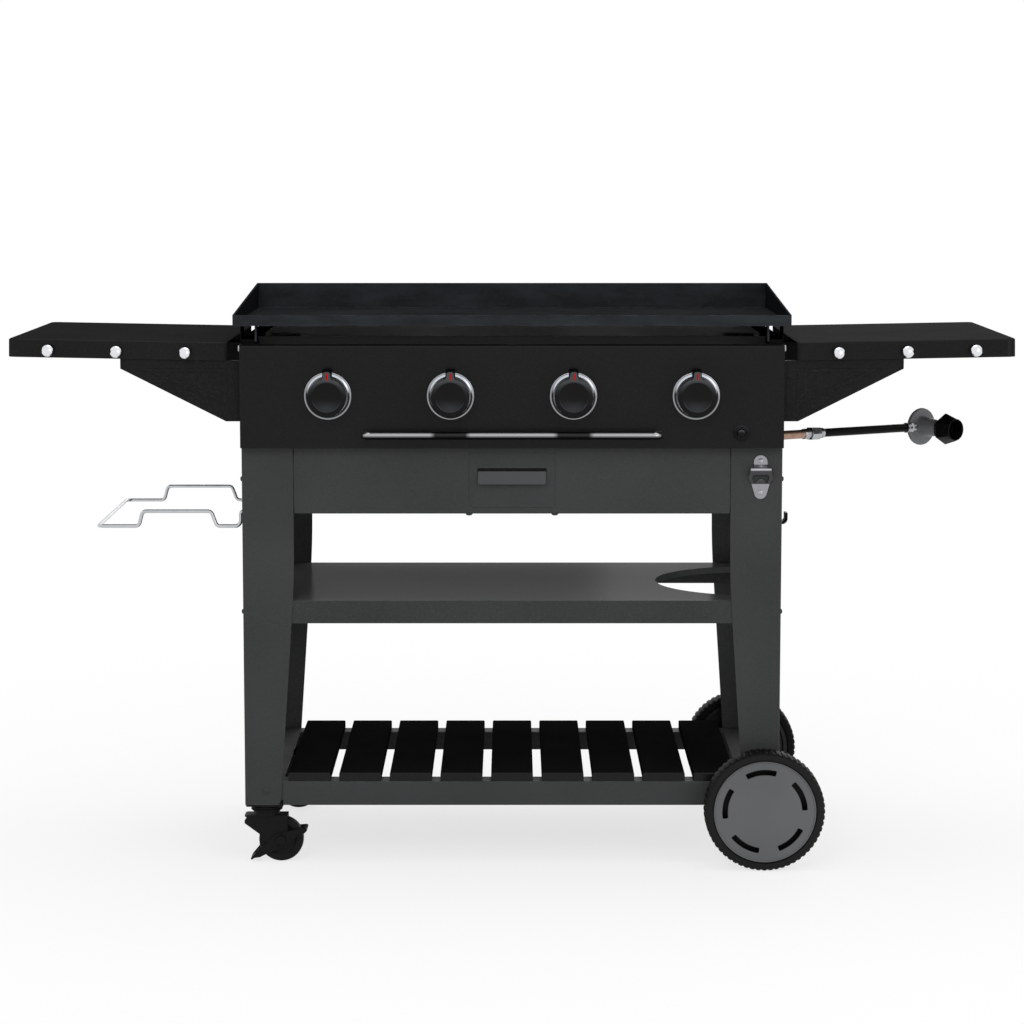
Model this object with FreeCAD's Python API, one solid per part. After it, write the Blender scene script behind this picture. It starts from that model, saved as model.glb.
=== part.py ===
"""Outdoor gas griddle station: a steel griddle plate over four burners on a wheeled cart.

Millimetres. The origin lies on the floor under the middle of the frame,
+X to the right, +Y to the back and +Z up, with the control knobs at the front.
"""
import FreeCAD
import Part
import math
import os

V = FreeCAD.Vector

# Frame of folded sheet steel
SHEET = 1.6
FRAME_HALF_X = 446.6
FRAME_HALF_Y = 234.0
FRAME_TOP = 702.0
SEAM_GAP = 1.6
BEND = 2.2
LEG_WIDTH = 85.0
LEG_FOOT_WIDTH = 59.5
LEG_FOOT_Z = 100.0
LEG_TAPER_TOP = 479.5
LEG_BLEND_RADIUS = 1500.0
LEG_CORNER = 9.0
LEG_SEAT = 42.0
CASTER_LEG_BOTTOM = 99.6
WHEEL_LEG_BOTTOM = 78.0

# Aprons under the firebox
APRON_HEIGHT = 111.0
APRON_BOTTOM = FRAME_TOP - APRON_HEIGHT
APRON_FLANGE = 15.0
TAB_LENGTH = 24.0
TAB_INSET = 15.0

# Shelf between the legs, with the notch for the gas tank
MID_SHELF_TOP = 445.2
MID_SHELF_LIP = 37.8
NOTCH_RADIUS = 178.0
NOTCH_X = FRAME_HALF_X - 19.6
NOTCH_Y = 2.0
NOTCH_FLANGE = 11.0

# Bottom shelf: rails that carry a row of slats
RAIL_TOP = 140.0
RAIL_HEIGHT = 40.0
RAIL_FLANGE = 40.0
END_RAIL_FLANGE = 63.0
SLAT_COUNT = 9
SLAT_PITCH = 84.7
SLAT_WIDTH = 70.0
SLAT_HEIGHT = 14.7
SLAT_SHEET = 1.2

# Control panel
PANEL_FRONT = -FRAME_HALF_Y - 21.0
PANEL_TOP = FRAME_TOP + 170.5
PANEL_SHEET = 1.2
PANEL_TOP_BEND = 10.0
PANEL_RETURN = 19.0
PANEL_TOP_RETURN = 12.0
PANEL_FOOT = 33.0

# Firebox
BOX_SHEET = 1.5
BOX_TOP = FRAME_TOP + 178.0
BOX_FLANGE = 25.0
TAB_Y = FRAME_HALF_Y - 34.0
TAB_SIZE = 55.0
SHIELD_Y = PANEL_FRONT + 65.0
SHIELD_HALF = FRAME_HALF_X - 26.6
SHIELD_TOP = BOX_TOP + 2.0
VENT_X = (FRAME_HALF_X - 67.1, FRAME_HALF_X - 14.1)
VENT_Z = (BOX_TOP - 30.0, BOX_TOP - 17.4)
BAFFLE_DEPTH = 17.5
BAFFLE_SHEET = 1.0

# Griddle plate
GRIDDLE_HALF = FRAME_HALF_X + 10.6
GRIDDLE_FRONT = PANEL_FRONT
GRIDDLE_BACK = FRAME_HALF_Y + 2.0
GRIDDLE_BOTTOM = BOX_TOP + 22.8
GRIDDLE_PLATE = 4.0
GRIDDLE_WALL = 3.0
GRIDDLE_LIP = 17.6
GRIDDLE_REAR_WALL = 48.2
STOP_X = (FRAME_HALF_X - 28.2, FRAME_HALF_X - 25.3)
STOP_LENGTH = 33.0
DRAIN_Y = GRIDDLE_FRONT + 40.0
DRAIN_RADIUS = 9.0

# Burners, valves and gas train
BURNER_X = (-302.0, -100.8, 100.8, 302.0)
BURNER_Z = FRAME_TOP + 86.0
BURNER_RADIUS = 22.5
BURNER_WALL = 1.5
BURNER_BACK = FRAME_HALF_Y - 19.0
TAIL_DROP = 12.5
NECK_RADIUS = 12.5
MANIFOLD_RADIUS = 9.5
MANIFOLD_Z = BURNER_Z - 32.0
MANIFOLD_OVERHANG = 26.0
MANIFOLD_DROP = 15.0
PIPE_RADIUS = 7.5
PIPE_START = V(FRAME_HALF_X + 6.6, SHIELD_Y, FRAME_TOP + 15.4)
PIPE_DIRECTION = V(0.788, 0.616, -0.014)
PIPE_TURN = -42.0
PIPE_END = 57.0
NUT_FLATS = 20.0
NUT_END = 87.0
HOSE_RADIUS = 7.1
FERRULE_RADIUS = 8.6
HOSE_END = 285.0
REGULATOR_AT = 328.0
REGULATOR_RADIUS = 32.1
REGULATOR_THICK = 16.0
SPIGOT_RADIUS = 9.0
HAND_NUT_BORE = 17.0
HAND_NUT_RADIUS = 18.9
HAND_NUT_CORNER = 25.8
HAND_NUT_START = 40.7
HAND_NUT_LENGTH = 37.0
HAND_NUT_CREST = 12.0

# Knobs and igniter
KNOB_RADIUS = 32.25
KNOB_FACE = PANEL_FRONT - 36.0
KNOB_SKIRT = PANEL_FRONT - 7.0
DISH_RADIUS = 23.0
DISH_DEPTH = 3.2
CREST_RADIUS = 24.5
RIM_FALL = 1.8
LOBE_FRONT = (6.0, 42.0)
LOBE_BACK = (8.0, 45.5)
LOBE_DEPTH = 20.0
STEM_RADIUS = 4.0
STEM_END = PANEL_FRONT + 23.0
SEAT_RADIUS = 6.0
SEAT_LENGTH = 6.0
PUSH = 3.0
RUNNING = 0.08
BEZEL_RADIUS = 39.0
BEZEL_CROWN = 4.2
BEZEL_GAP = 0.5
IGNITER_X = FRAME_HALF_X - 70.2
IGNITER_Z = FRAME_TOP + 25.3
BUTTON_RADIUS = 7.4

# Towel bar, opener, hook and wire rack
BAR_RADIUS = 3.75
BAR_HALF = 246.5
BAR_Z = FRAME_TOP + 24.7
BAR_Y = PANEL_FRONT - 30.0
BAR_BEND = 20.0
OPENER_X = FRAME_HALF_X - 36.2
OPENER_Z = FRAME_TOP - 52.0
OPENER_SHEET = 2.2
OPENER_LEAN = 12.0
WIRE_RADIUS = 3.15
RACK_HALF_Y = FRAME_HALF_Y - 46.5
RACK_HIGH = FRAME_TOP - 112.4
RACK_LOW = RACK_HIGH - 24.9
RACK_RISER = FRAME_HALF_X + 6.2
RACK_HUMP = (FRAME_HALF_X + 55.7, FRAME_HALF_X + 170.0)
RACK_REACH = FRAME_HALF_X + 244.4
HOOK_SHEET = 5.0
HOOK_HALF = 12.0
HOOK_DROP = 42.8
HOOK_REACH = FRAME_HALF_X + 27.5
HOOK_LIP = 17.1

# Side shelves
SHELF_FRONT = -FRAME_HALF_Y - 15.0
SHELF_BACK = FRAME_HALF_Y - 9.0
SHELF_START = FRAME_HALF_X + 20.9
SHELF_LENGTH = 358.4
SHELF_LIP = 30.0
SHELF_INNER_TOP = PANEL_TOP + 3.0
SHELF_TILT = 1.04
SHELF_RETURN = 12.0
BRACKET_SHEET = 2.0
BRACKET_REACH = FRAME_HALF_X + 196.0
BRACKET_BOTTOM = SHELF_INNER_TOP - 130.0
BRACKET_NOSE = SHELF_INNER_TOP - 43.2
RIB_X = (FRAME_HALF_X + 21.4, FRAME_HALF_X + 163.4)
RIB_Z = (BRACKET_BOTTOM + 26.5, BRACKET_NOSE - 0.3)
RIB_HEIGHT = 1.0
PEG_AT = (SHELF_START + 67.1, SHELF_START + 179.7, SHELF_START + 291.3)
PEG_HEAD = 9.5
PEG_DOME = 5.5
PEG_LENGTH = 21.0
PEG_DROP = 17.9

# Drawer
DRAWER_HALF = 70.3
DRAWER_Z = (APRON_BOTTOM + 11.0, FRAME_TOP - 10.5)
DRAWER_GAP = 0.8
SILL_DEPTH = 12.0
TRAY_HALF = DRAWER_HALF - 2.3
TRAY_TOP = DRAWER_Z[0] + 53.0
TRAY_BACK = 60.0
TRAY_LIFT = 1.5
RUNNER_HEIGHT = 47.4
HANDLE_HALF = DRAWER_HALF - 14.3
HANDLE_SLOT = (DRAWER_Z[0] + 55.5, DRAWER_Z[0] + 64.5)
HANDLE_TOP = DRAWER_Z[0] + 76.0
HANDLE_BEND = DRAWER_Z[0] + 62.0
HANDLE_TIP = DRAWER_Z[0] + 36.8
HANDLE_LEAN = 11.3

# Wheels
WHEEL_RADIUS = 100.0
WHEEL_X = FRAME_HALF_X - 27.5
WHEEL_OUTER = FRAME_HALF_Y + 57.0
WHEEL_WIDTH = 45.0
HUB_RADIUS = WHEEL_RADIUS - 16.5
HUB_FACE = 3.5
HUB_WALL = 2.5
AXLE_RADIUS = 6.35
SPOKE_SLOT = (HUB_RADIUS - 21.9, HUB_RADIUS - 12.8)
SLOT_SPREAD = 18.5
SLOT_TURN = 96.0
CASTER_RADIUS = 37.5
CASTER_WIDTH = 24.0
CASTER_Y = FRAME_HALF_Y - 29.0
SWIVEL_X = -(FRAME_HALF_X - 34.0)
CASTER_TRAIL = 24.4
PIN_RADIUS = 5.0
FORK_SHEET = 2.5

# Drip chute
CHUTE_HALF = 30.0

LEG_SLOPE = (LEG_WIDTH - LEG_FOOT_WIDTH) / (LEG_TAPER_TOP - LEG_FOOT_Z)
PANEL_BACK = PANEL_FRONT + PANEL_SHEET


# Helpers

def box(x, y, z):
    """Block between the low and high values of each axis."""
    low = V(min(x), min(y), min(z))
    return Part.makeBox(abs(x[1] - x[0]), abs(y[1] - y[0]), abs(z[1] - z[0]), low)


def rod(radius, start, end):
    """Cylinder from one point to another."""
    run = V(*end) - V(*start)
    return Part.makeCylinder(radius, run.Length, V(*start), run)


def xz(y):
    return lambda u, v: V(u, y, v)


def yz(x):
    return lambda u, v: V(x, u, v)


def face(points, place):
    """Face from (u, v) corners; (mu, mv, u, v) is an arc through (mu, mv)."""
    spots = [place(*point[-2:]) for point in points]
    edges = []
    for index, point in enumerate(points):
        start = spots[index - 1]
        end = spots[index]
        if len(point) == 4:
            edges.append(Part.Arc(start, place(*point[:2]), end).toShape())
        elif start.distanceToPoint(end) > 1e-6:
            edges.append(Part.makeLine(start, end))
    return Part.Face(Part.Wire(edges))


def strip(points, bend, thickness, place):
    """Section of a folded sheet that follows a centre line with rounded bends."""
    spots = [V(u, v, 0) for u, v in points]
    runs = [(b - a).normalize() for a, b in zip(spots, spots[1:])]
    normals = [V(-run.y, run.x, 0) for run in runs]
    sides = []
    for offset in (thickness / 2, -thickness / 2):
        side = [(spots[0] + normals[0] * offset,)]
        for index, corner in enumerate(spots[1:-1]):
            before, after = runs[index], runs[index + 1]
            turn = math.atan2(before.x * after.y - before.y * after.x, before.dot(after))
            way = 1 if turn > 0 else -1
            tangent = bend * math.tan(abs(turn) / 2)
            first = corner - before * tangent
            last = corner + after * tangent
            centre = first + normals[index] * (bend * way)
            middle = centre + (corner - centre).normalize() * (bend - way * offset)
            side.append((first + normals[index] * offset,))
            side.append((middle, last + normals[index + 1] * offset))
        side.append((spots[-1] + normals[-1] * offset,))
        sides.append(side)
    forward, back = sides
    items = [tuple(c for spot in item for c in (spot.x, spot.y)) for item in forward]
    ends = [item[-1] for item in back]
    items.append((ends[-1].x, ends[-1].y))
    for index in range(len(back) - 1, 0, -1):
        target = ends[index - 1]
        if len(back[index]) == 2:
            middle = back[index][0]
            items.append((middle.x, middle.y, target.x, target.y))
        else:
            items.append((target.x, target.y))
    return face(items, place)


def turned(points, start, axis):
    """Solid of revolution: points are (radius, distance along the axis)."""
    along = V(*axis).normalize()
    across = V(0, 0, 1) if abs(along.z) < 0.5 else V(1, 0, 0)
    across = (across - along * across.dot(along)).normalize()
    base = V(*start)
    section = face(points, lambda r, a: base + across * r + along * a)
    return section.revolve(base, along, 360)


def route(points, bends):
    """Wire of straight runs joined by tangent arcs."""
    spots = [V(*point) for point in points]
    edges = []
    last = spots[0]
    for index in range(1, len(spots) - 1):
        corner = spots[index]
        before = (corner - spots[index - 1]).normalize()
        after = (spots[index + 1] - corner).normalize()
        turn = before.getAngle(after)
        tangent = bends[index - 1] * math.tan(turn / 2)
        first = corner - before * tangent
        then = corner + after * tangent
        inward = (after - before).normalize()
        reach = bends[index - 1] * (1 / math.cos(turn / 2) - 1)
        if first.distanceToPoint(last) > 1e-6:
            edges.append(Part.makeLine(last, first))
        edges.append(Part.Arc(first, corner + inward * reach, then).toShape())
        last = then
    edges.append(Part.makeLine(last, spots[-1]))
    return Part.Wire(edges)


def bent_rod(points, bends, radius):
    """Round bar that follows a route."""
    path = route(points, bends)
    start = V(*points[0])
    aim = V(*points[1]) - start
    ring = Part.Wire(Part.makeCircle(radius, start, aim))
    return path.makePipeShell([ring], True, False)


def rounded(shape, radius, choose):
    """Fillet of the edges whose middle passes the test."""
    edges = [edge for edge in shape.Edges if choose(edge)]
    return shape.makeFillet(radius, edges)


def upright(edge):
    return abs(edge.tangentAt(edge.FirstParameter).z) > 0.99


def mirror_x(shape):
    return shape.mirror(V(0, 0, 0), V(1, 0, 0))


def mirror_y(shape, at=0.0):
    return shape.mirror(V(0, at, 0), V(0, 1, 0))


def fused(first, *others):
    return first.fuse(list(others)).removeSplitter()


def group(*shapes):
    return Part.makeCompound([solid for shape in shapes for solid in shape.Solids])


# Legs

def leg_width(z):
    return min(LEG_WIDTH, LEG_WIDTH - LEG_SLOPE * (LEG_TAPER_TOP - z))


def leg_outline(bottom):
    """Flange of a leg: straight at the top, then a long soft bend into the taper."""
    angle = math.atan(LEG_SLOPE)
    tangent = LEG_BLEND_RADIUS * math.tan(angle / 2)
    high = LEG_TAPER_TOP + tangent
    low = LEG_TAPER_TOP - tangent * math.cos(angle)
    middle_u = LEG_WIDTH - LEG_BLEND_RADIUS * (1 - math.cos(angle / 2))
    middle_v = high - LEG_BLEND_RADIUS * math.sin(angle / 2)
    foot = leg_width(bottom)
    side = leg_width(bottom + LEG_CORNER)
    diagonal = LEG_CORNER * (1 - math.sqrt(0.5))
    return [
        (-1.0, bottom),
        (foot - LEG_CORNER, bottom),
        (foot - diagonal, bottom + diagonal, side, bottom + LEG_CORNER),
        (LEG_WIDTH - tangent * math.sin(angle), low),
        (middle_u, middle_v, LEG_WIDTH, high),
        (LEG_WIDTH, FRAME_TOP),
        (-1.0, FRAME_TOP),
    ]


def leg(bottom):
    """Front left leg, an angle of folded sheet with a seat plate in its top."""
    corner = V(-FRAME_HALF_X, -FRAME_HALF_Y, 0)
    half = SHEET / 2
    path = [(LEG_WIDTH, half), (half, half), (half, LEG_WIDTH)]
    section = strip(path, BEND, SHEET, lambda u, v: corner + V(u, v, bottom))
    angle = section.extrude(V(0, 0, FRAME_TOP - bottom))
    outline = leg_outline(bottom)
    reach = LEG_WIDTH + 2.0
    front = face(outline, lambda u, v: corner + V(u, -1.0, v)).extrude(V(0, reach, 0))
    side = face(outline, lambda u, v: corner + V(-1.0, u, v)).extrude(V(reach, 0, 0))
    body = angle.common(front).common(side)
    seat_x = (-FRAME_HALF_X + half, -FRAME_HALF_X + LEG_SEAT)
    seat_y = (-FRAME_HALF_Y + half, -FRAME_HALF_Y + LEG_SEAT)
    seat = rounded(box(seat_x, seat_y, (FRAME_TOP - SHEET, FRAME_TOP)), 3.0, upright)
    return fused(body, seat)


def caster_leg():
    """Front left leg with the foot plate that the caster bolts to."""
    foot = leg_width(CASTER_LEG_BOTTOM) - 0.6
    x = (-FRAME_HALF_X + SHEET / 2, -FRAME_HALF_X + foot)
    y = (-FRAME_HALF_Y + SHEET / 2, -FRAME_HALF_Y + foot)
    z = (CASTER_LEG_BOTTOM, CASTER_LEG_BOTTOM + SHEET)
    body = fused(leg(CASTER_LEG_BOTTOM), rounded(box(x, y, z), 3.0, upright))
    hole = rod(
        WIRE_RADIUS + 0.35,
        (-FRAME_HALF_X - 2, -RACK_HALF_Y, RACK_HIGH),
        (-FRAME_HALF_X + 4, -RACK_HALF_Y, RACK_HIGH),
    )
    return body.cut(hole)


def wheel_leg():
    """Front right leg, bored for the axle."""
    body = mirror_x(leg(WHEEL_LEG_BOTTOM))
    hole = rod(
        AXLE_RADIUS + RUNNING,
        (WHEEL_X, -FRAME_HALF_Y - 2, WHEEL_RADIUS),
        (WHEEL_X, -FRAME_HALF_Y + 4, WHEEL_RADIUS),
    )
    return body.cut(hole)


# Aprons and rails

def long_apron():
    """Front apron: a channel with end tabs behind the legs' flanges."""
    half = FRAME_HALF_X - LEG_WIDTH - SEAM_GAP
    inner = -FRAME_HALF_Y + APRON_FLANGE
    middle = SHEET / 2
    path = [
        (inner, APRON_BOTTOM + middle),
        (-FRAME_HALF_Y + middle, APRON_BOTTOM + middle),
        (-FRAME_HALF_Y + middle, FRAME_TOP - middle),
        (inner, FRAME_TOP - middle),
    ]
    web = strip(path, BEND, SHEET, yz(-half)).extrude(V(2 * half, 0, 0))
    back = -FRAME_HALF_Y + SHEET
    z = (APRON_BOTTOM + TAB_INSET, FRAME_TOP - TAB_INSET)
    tabs = []
    for way in (-1, 1):
        x = (way * (half - TAB_INSET), way * (half + TAB_LENGTH))
        tabs.append(box(x, (back, back + SHEET), z))
    return fused(web, *tabs)


def front_apron():
    """Front apron with the drawer's opening and a sill folded inwards under it."""
    half = DRAWER_HALF + DRAWER_GAP
    z = (DRAWER_Z[0] - DRAWER_GAP, DRAWER_Z[1] + DRAWER_GAP)
    opening = box((-half, half), (-FRAME_HALF_Y - 2, -FRAME_HALF_Y + 4), z)
    sill_half = TRAY_HALF
    sill_y = (-FRAME_HALF_Y + SHEET / 2, -FRAME_HALF_Y + SILL_DEPTH)
    sill = box((-sill_half, sill_half), sill_y, (z[0] - SHEET, z[0]))
    return fused(long_apron().cut(opening), sill)


def rear_apron():
    return mirror_y(long_apron())


def end_apron():
    """Left end apron between the side flanges of the legs."""
    half = FRAME_HALF_Y - LEG_WIDTH - SEAM_GAP
    inner = -FRAME_HALF_X + APRON_FLANGE
    middle = SHEET / 2
    path = [
        (inner, APRON_BOTTOM + middle),
        (-FRAME_HALF_X + middle, APRON_BOTTOM + middle),
        (-FRAME_HALF_X + middle, FRAME_TOP - middle),
        (inner, FRAME_TOP - middle),
    ]
    web = strip(path, BEND, SHEET, xz(-half)).extrude(V(0, 2 * half, 0))
    back = -FRAME_HALF_X + SHEET
    z = (APRON_BOTTOM + TAB_INSET, FRAME_TOP - TAB_INSET)
    tabs = []
    for way in (-1, 1):
        y = (way * (half - TAB_INSET), way * (half + TAB_LENGTH))
        tabs.append(box((back, back + SHEET), y, z))
    return fused(web, *tabs)


def end_aprons():
    left = end_apron()
    return group(left, mirror_x(left))


def mid_shelf():
    """Shelf pan held between the legs, cut out at the right for the gas tank."""
    half_x = FRAME_HALF_X - SHEET
    half_y = FRAME_HALF_Y - SHEET
    z = (MID_SHELF_TOP - MID_SHELF_LIP, MID_SHELF_TOP)
    outer = rounded(box((-half_x, half_x), (-half_y, half_y), z), 4.0, upright)
    outer = rounded(outer, 2.0, lambda edge: edge.BoundBox.ZMin > MID_SHELF_TOP - 0.01)
    inner = box(
        (-half_x + SHEET, half_x - SHEET),
        (-half_y + SHEET, half_y - SHEET),
        (z[0] - 1, MID_SHELF_TOP - SHEET),
    )
    inner = rounded(inner, 2.4, upright)
    pan = outer.cut(inner)
    centre = (NOTCH_X, NOTCH_Y)
    notch = rod(NOTCH_RADIUS, (*centre, z[0] - 2), (*centre, MID_SHELF_TOP + 2))
    rim_low = MID_SHELF_TOP - NOTCH_FLANGE
    rim = rod(NOTCH_RADIUS + SHEET, (*centre, rim_low), (*centre, MID_SHELF_TOP - SHEET / 2))
    rim = rim.common(box((0, half_x - SHEET / 2), (-half_y, half_y), (rim_low, MID_SHELF_TOP)))
    return pan.fuse(rim).cut(notch).removeSplitter()


def front_rail():
    """Front rail of the bottom shelf, with its flange on top and tabs behind the legs."""
    bottom = RAIL_TOP - RAIL_HEIGHT
    half = FRAME_HALF_X - leg_width(RAIL_TOP) - SEAM_GAP
    middle = SHEET / 2
    inner = -FRAME_HALF_Y + RAIL_FLANGE
    path = [
        (-FRAME_HALF_Y + middle, bottom),
        (-FRAME_HALF_Y + middle, RAIL_TOP - middle),
        (inner, RAIL_TOP - middle),
    ]
    web = strip(path, BEND, SHEET, yz(-half)).extrude(V(2 * half, 0, 0))
    back = -FRAME_HALF_Y + SHEET
    reach = FRAME_HALF_X - SHEET - BEND
    ears = box((-reach, reach), (back, inner), (RAIL_TOP - SHEET, RAIL_TOP))
    parts = [ears]
    for way in (-1, 1):
        x = (way * (half - TAB_INSET), way * (half + TAB_INSET))
        parts.append(box(x, (back, back + SHEET), (bottom + 8, RAIL_TOP - SHEET / 2)))
    return fused(web, *parts)


def end_rail():
    """Left end rail, between the side flanges of the legs."""
    bottom = RAIL_TOP - RAIL_HEIGHT
    half = FRAME_HALF_Y - leg_width(RAIL_TOP) - SEAM_GAP
    middle = SHEET / 2
    inner = -FRAME_HALF_X + END_RAIL_FLANGE
    path = [
        (-FRAME_HALF_X + middle, bottom),
        (-FRAME_HALF_X + middle, RAIL_TOP - middle),
        (inner, RAIL_TOP - middle),
    ]
    web = strip(path, BEND, SHEET, xz(-half)).extrude(V(0, 2 * half, 0))
    reach = FRAME_HALF_Y - RAIL_FLANGE
    ears = box((-FRAME_HALF_X + SHEET, inner), (-reach, reach), (RAIL_TOP - SHEET, RAIL_TOP))
    return fused(web, ears)


def bottom_frame():
    front = front_rail()
    left = end_rail()
    return group(front, mirror_y(front), left, mirror_x(left))


def bottom_slats():
    """Row of inverted trays that rest on the front and rear rails."""
    slats = []
    y = (-FRAME_HALF_Y + 2.0, FRAME_HALF_Y - 3.0)
    z = (RAIL_TOP, RAIL_TOP + SLAT_HEIGHT)
    first = -SLAT_PITCH * (SLAT_COUNT - 1) / 2
    for index in range(SLAT_COUNT):
        x = first + index * SLAT_PITCH
        outer = box((x - SLAT_WIDTH / 2, x + SLAT_WIDTH / 2), y, z)
        outer = rounded(outer, 3.0, lambda edge: edge.BoundBox.ZMin > z[1] - 0.01)
        half = SLAT_WIDTH / 2 - SLAT_SHEET
        hollow = box(
            (x - half, x + half),
            (y[0] + SLAT_SHEET, y[1] - SLAT_SHEET),
            (z[0] - 1, z[1] - SLAT_SHEET),
        )
        hollow = rounded(hollow, 1.8, lambda edge: edge.BoundBox.ZMin > z[1] - SLAT_SHEET - 0.01)
        slats.append(outer.cut(hollow))
    return group(*slats)


# Control panel and firebox

def control_panel():
    """Pressed panel: rounded at the top, with returns all round and the holes for the controls."""
    y = (PANEL_FRONT, PANEL_FRONT + PANEL_FOOT)
    outer = box((-FRAME_HALF_X, FRAME_HALF_X), y, (FRAME_TOP, PANEL_TOP))
    outer = rounded(outer, PANEL_TOP_BEND, lambda edge: front_edge(edge, PANEL_FRONT, PANEL_TOP))
    inner_x = FRAME_HALF_X - PANEL_SHEET
    inner_z = (FRAME_TOP + PANEL_SHEET, PANEL_TOP - PANEL_SHEET)
    inner = box((-inner_x, inner_x), (PANEL_BACK, y[1] + 1), inner_z)
    bend = PANEL_TOP_BEND - PANEL_SHEET
    inner = rounded(inner, bend, lambda edge: front_edge(edge, PANEL_BACK, inner_z[1]))
    pan = outer.cut(inner)
    side_back = PANEL_FRONT + PANEL_RETURN
    top_back = PANEL_FRONT + PANEL_TOP_RETURN
    foot_half = FRAME_HALF_X - LEG_SEAT - 3.0
    past = FRAME_HALF_X + 10.0
    cuts = [
        box((-past, past), (top_back, y[1] + 1), (PANEL_TOP - 2 * PANEL_SHEET, PANEL_TOP + 1)),
        box((-past, -inner_x + 0.01), (side_back, y[1] + 1), (FRAME_TOP - 1, PANEL_TOP + 1)),
        box((past, inner_x - 0.01), (side_back, y[1] + 1), (FRAME_TOP - 1, PANEL_TOP + 1)),
        box((-past, -foot_half), (side_back - 10, y[1] + 1), (FRAME_TOP - 1, FRAME_TOP + 3)),
        box((past, foot_half), (side_back - 10, y[1] + 1), (FRAME_TOP - 1, FRAME_TOP + 3)),
    ]
    for x in BURNER_X:
        cuts.append(rod(10.0, (x, PANEL_FRONT - 2, BURNER_Z), (x, PANEL_BACK + 2, BURNER_Z)))
    barrel = BUTTON_RADIUS + 2.7
    cuts.append(rod(
        barrel, (IGNITER_X, PANEL_FRONT - 2, IGNITER_Z), (IGNITER_X, PANEL_BACK + 2, IGNITER_Z)))
    for way in (-1, 1):
        x = way * (BAR_HALF - BAR_RADIUS)
        cuts.append(rod(BAR_RADIUS + 0.1, (x, PANEL_FRONT - 2, BAR_Z), (x, PANEL_BACK + 2, BAR_Z)))
    for cut in cuts:
        pan = pan.cut(cut)
    return pan


def front_edge(edge, y, z):
    """True for the long edge at this depth and height."""
    bounds = edge.BoundBox
    return abs(bounds.YMax - y) < 0.01 and bounds.ZMin > z - 0.01


def firebox_side():
    """Left wall: a folded sheet with a flange at each edge and tabs that carry the griddle."""
    outer = -FRAME_HALF_X
    inner = outer + BOX_SHEET
    front = PANEL_FRONT + PANEL_RETURN + 0.3
    wall = box((outer, inner), (front, FRAME_HALF_Y), (FRAME_TOP, BOX_TOP))
    foot = box((outer, outer + BOX_FLANGE), (front, FRAME_HALF_Y), (FRAME_TOP, FRAME_TOP + BOX_SHEET))
    top_y = (front - 4.0, FRAME_HALF_Y - BOX_SHEET)
    top = box((outer, outer + BOX_FLANGE), top_y, (BOX_TOP - BOX_SHEET, BOX_TOP))
    step = outer + PANEL_SHEET
    joggle_y = (PANEL_FRONT + PANEL_TOP_RETURN + 1.5, front + 10)
    low = FRAME_TOP + 2.0
    joggle = box((step, step + BOX_SHEET), joggle_y, (low, BOX_TOP))
    lap = box((step, outer + BOX_FLANGE), (joggle_y[0], joggle_y[0] + BOX_SHEET), (low, BOX_TOP))
    lap = rounded(lap, 8.0, lambda edge: side_edge(edge, step, BOX_TOP))
    joggle = joggle.cut(box((outer - 1, outer + 6), (joggle_y[0] - 1, front), (BOX_TOP - 9, BOX_TOP + 1)))
    parts = [foot, top, joggle, lap]
    for way in (-1, 1):
        y = (way * TAB_Y - TAB_SIZE / 2, way * TAB_Y + TAB_SIZE / 2)
        tab = box((outer, inner), y, (BOX_TOP - 1, GRIDDLE_BOTTOM))
        parts.append(rounded(tab, 5.0, lambda edge: tab_corner(edge, y)))
    return fused(wall, *parts)


def side_edge(edge, x, z):
    """True for the edge along Y at the outer top corner of a lap."""
    bounds = edge.BoundBox
    return abs(bounds.XMax - x) < 0.01 and bounds.ZMin > z - 0.01


def tab_corner(edge, y):
    """True for the two upper corners of a griddle tab, along X."""
    bounds = edge.BoundBox
    at_end = abs(bounds.YMax - y[0]) < 0.01 or abs(bounds.YMin - y[1]) < 0.01
    return bounds.XLength > 1.0 and at_end and bounds.ZMin > GRIDDLE_BOTTOM - 0.01


def firebox_side_right():
    body = mirror_x(firebox_side())
    hole = rod(PIPE_RADIUS + 1.0, along_pipe(-25.0), along_pipe(10.0))
    return body.cut(hole)


def vent_baffle():
    """Folded strip inside the rear wall, with a vent slot at each end."""
    half = FRAME_HALF_X - 2 * BOX_SHEET - 1.0
    back = FRAME_HALF_Y - BOX_SHEET
    front = back - BAFFLE_DEPTH
    low, high = VENT_Z[0] - 10.0, BOX_TOP - BOX_SHEET - 0.5
    middle = BAFFLE_SHEET / 2
    path = [(back, low + middle), (front + middle, low + middle),
            (front + middle, high - middle), (back, high - middle)]
    body = strip(path, BEND, BAFFLE_SHEET, yz(-half)).extrude(V(2 * half, 0, 0))
    for way in (-1, 1):
        x = (way * VENT_X[0], way * VENT_X[1])
        body = body.cut(box(x, (front - 1, front + BEND), VENT_Z))
    return body


def firebox_back():
    """Rear wall with its side laps, the vent baffle and the ledges under the burners' tails."""
    half = FRAME_HALF_X - BOX_SHEET
    y = (FRAME_HALF_Y - BOX_SHEET, FRAME_HALF_Y)
    low = FRAME_TOP + BOX_SHEET
    wall = box((-half, half), y, (low, BOX_TOP))
    foot_half = FRAME_HALF_X - BOX_FLANGE - 1.0
    foot = box((-foot_half, foot_half), (y[0] - 12, y[1]), (FRAME_TOP, low))
    parts = [foot]
    for way in (-1, 1):
        x = (way * (half - BOX_SHEET), way * half)
        parts.append(box(x, (y[0] - 14, y[1]), (low + 4, BOX_TOP - BOX_SHEET)))
    for x in BURNER_X:
        z = BURNER_Z - TAIL_DROP - BOX_SHEET
        parts.append(box((x - 16, x + 16), (BURNER_BACK + 1.0, y[1]), (z, z + BOX_SHEET)))
    return fused(wall, vent_baffle(), *parts)


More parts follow.
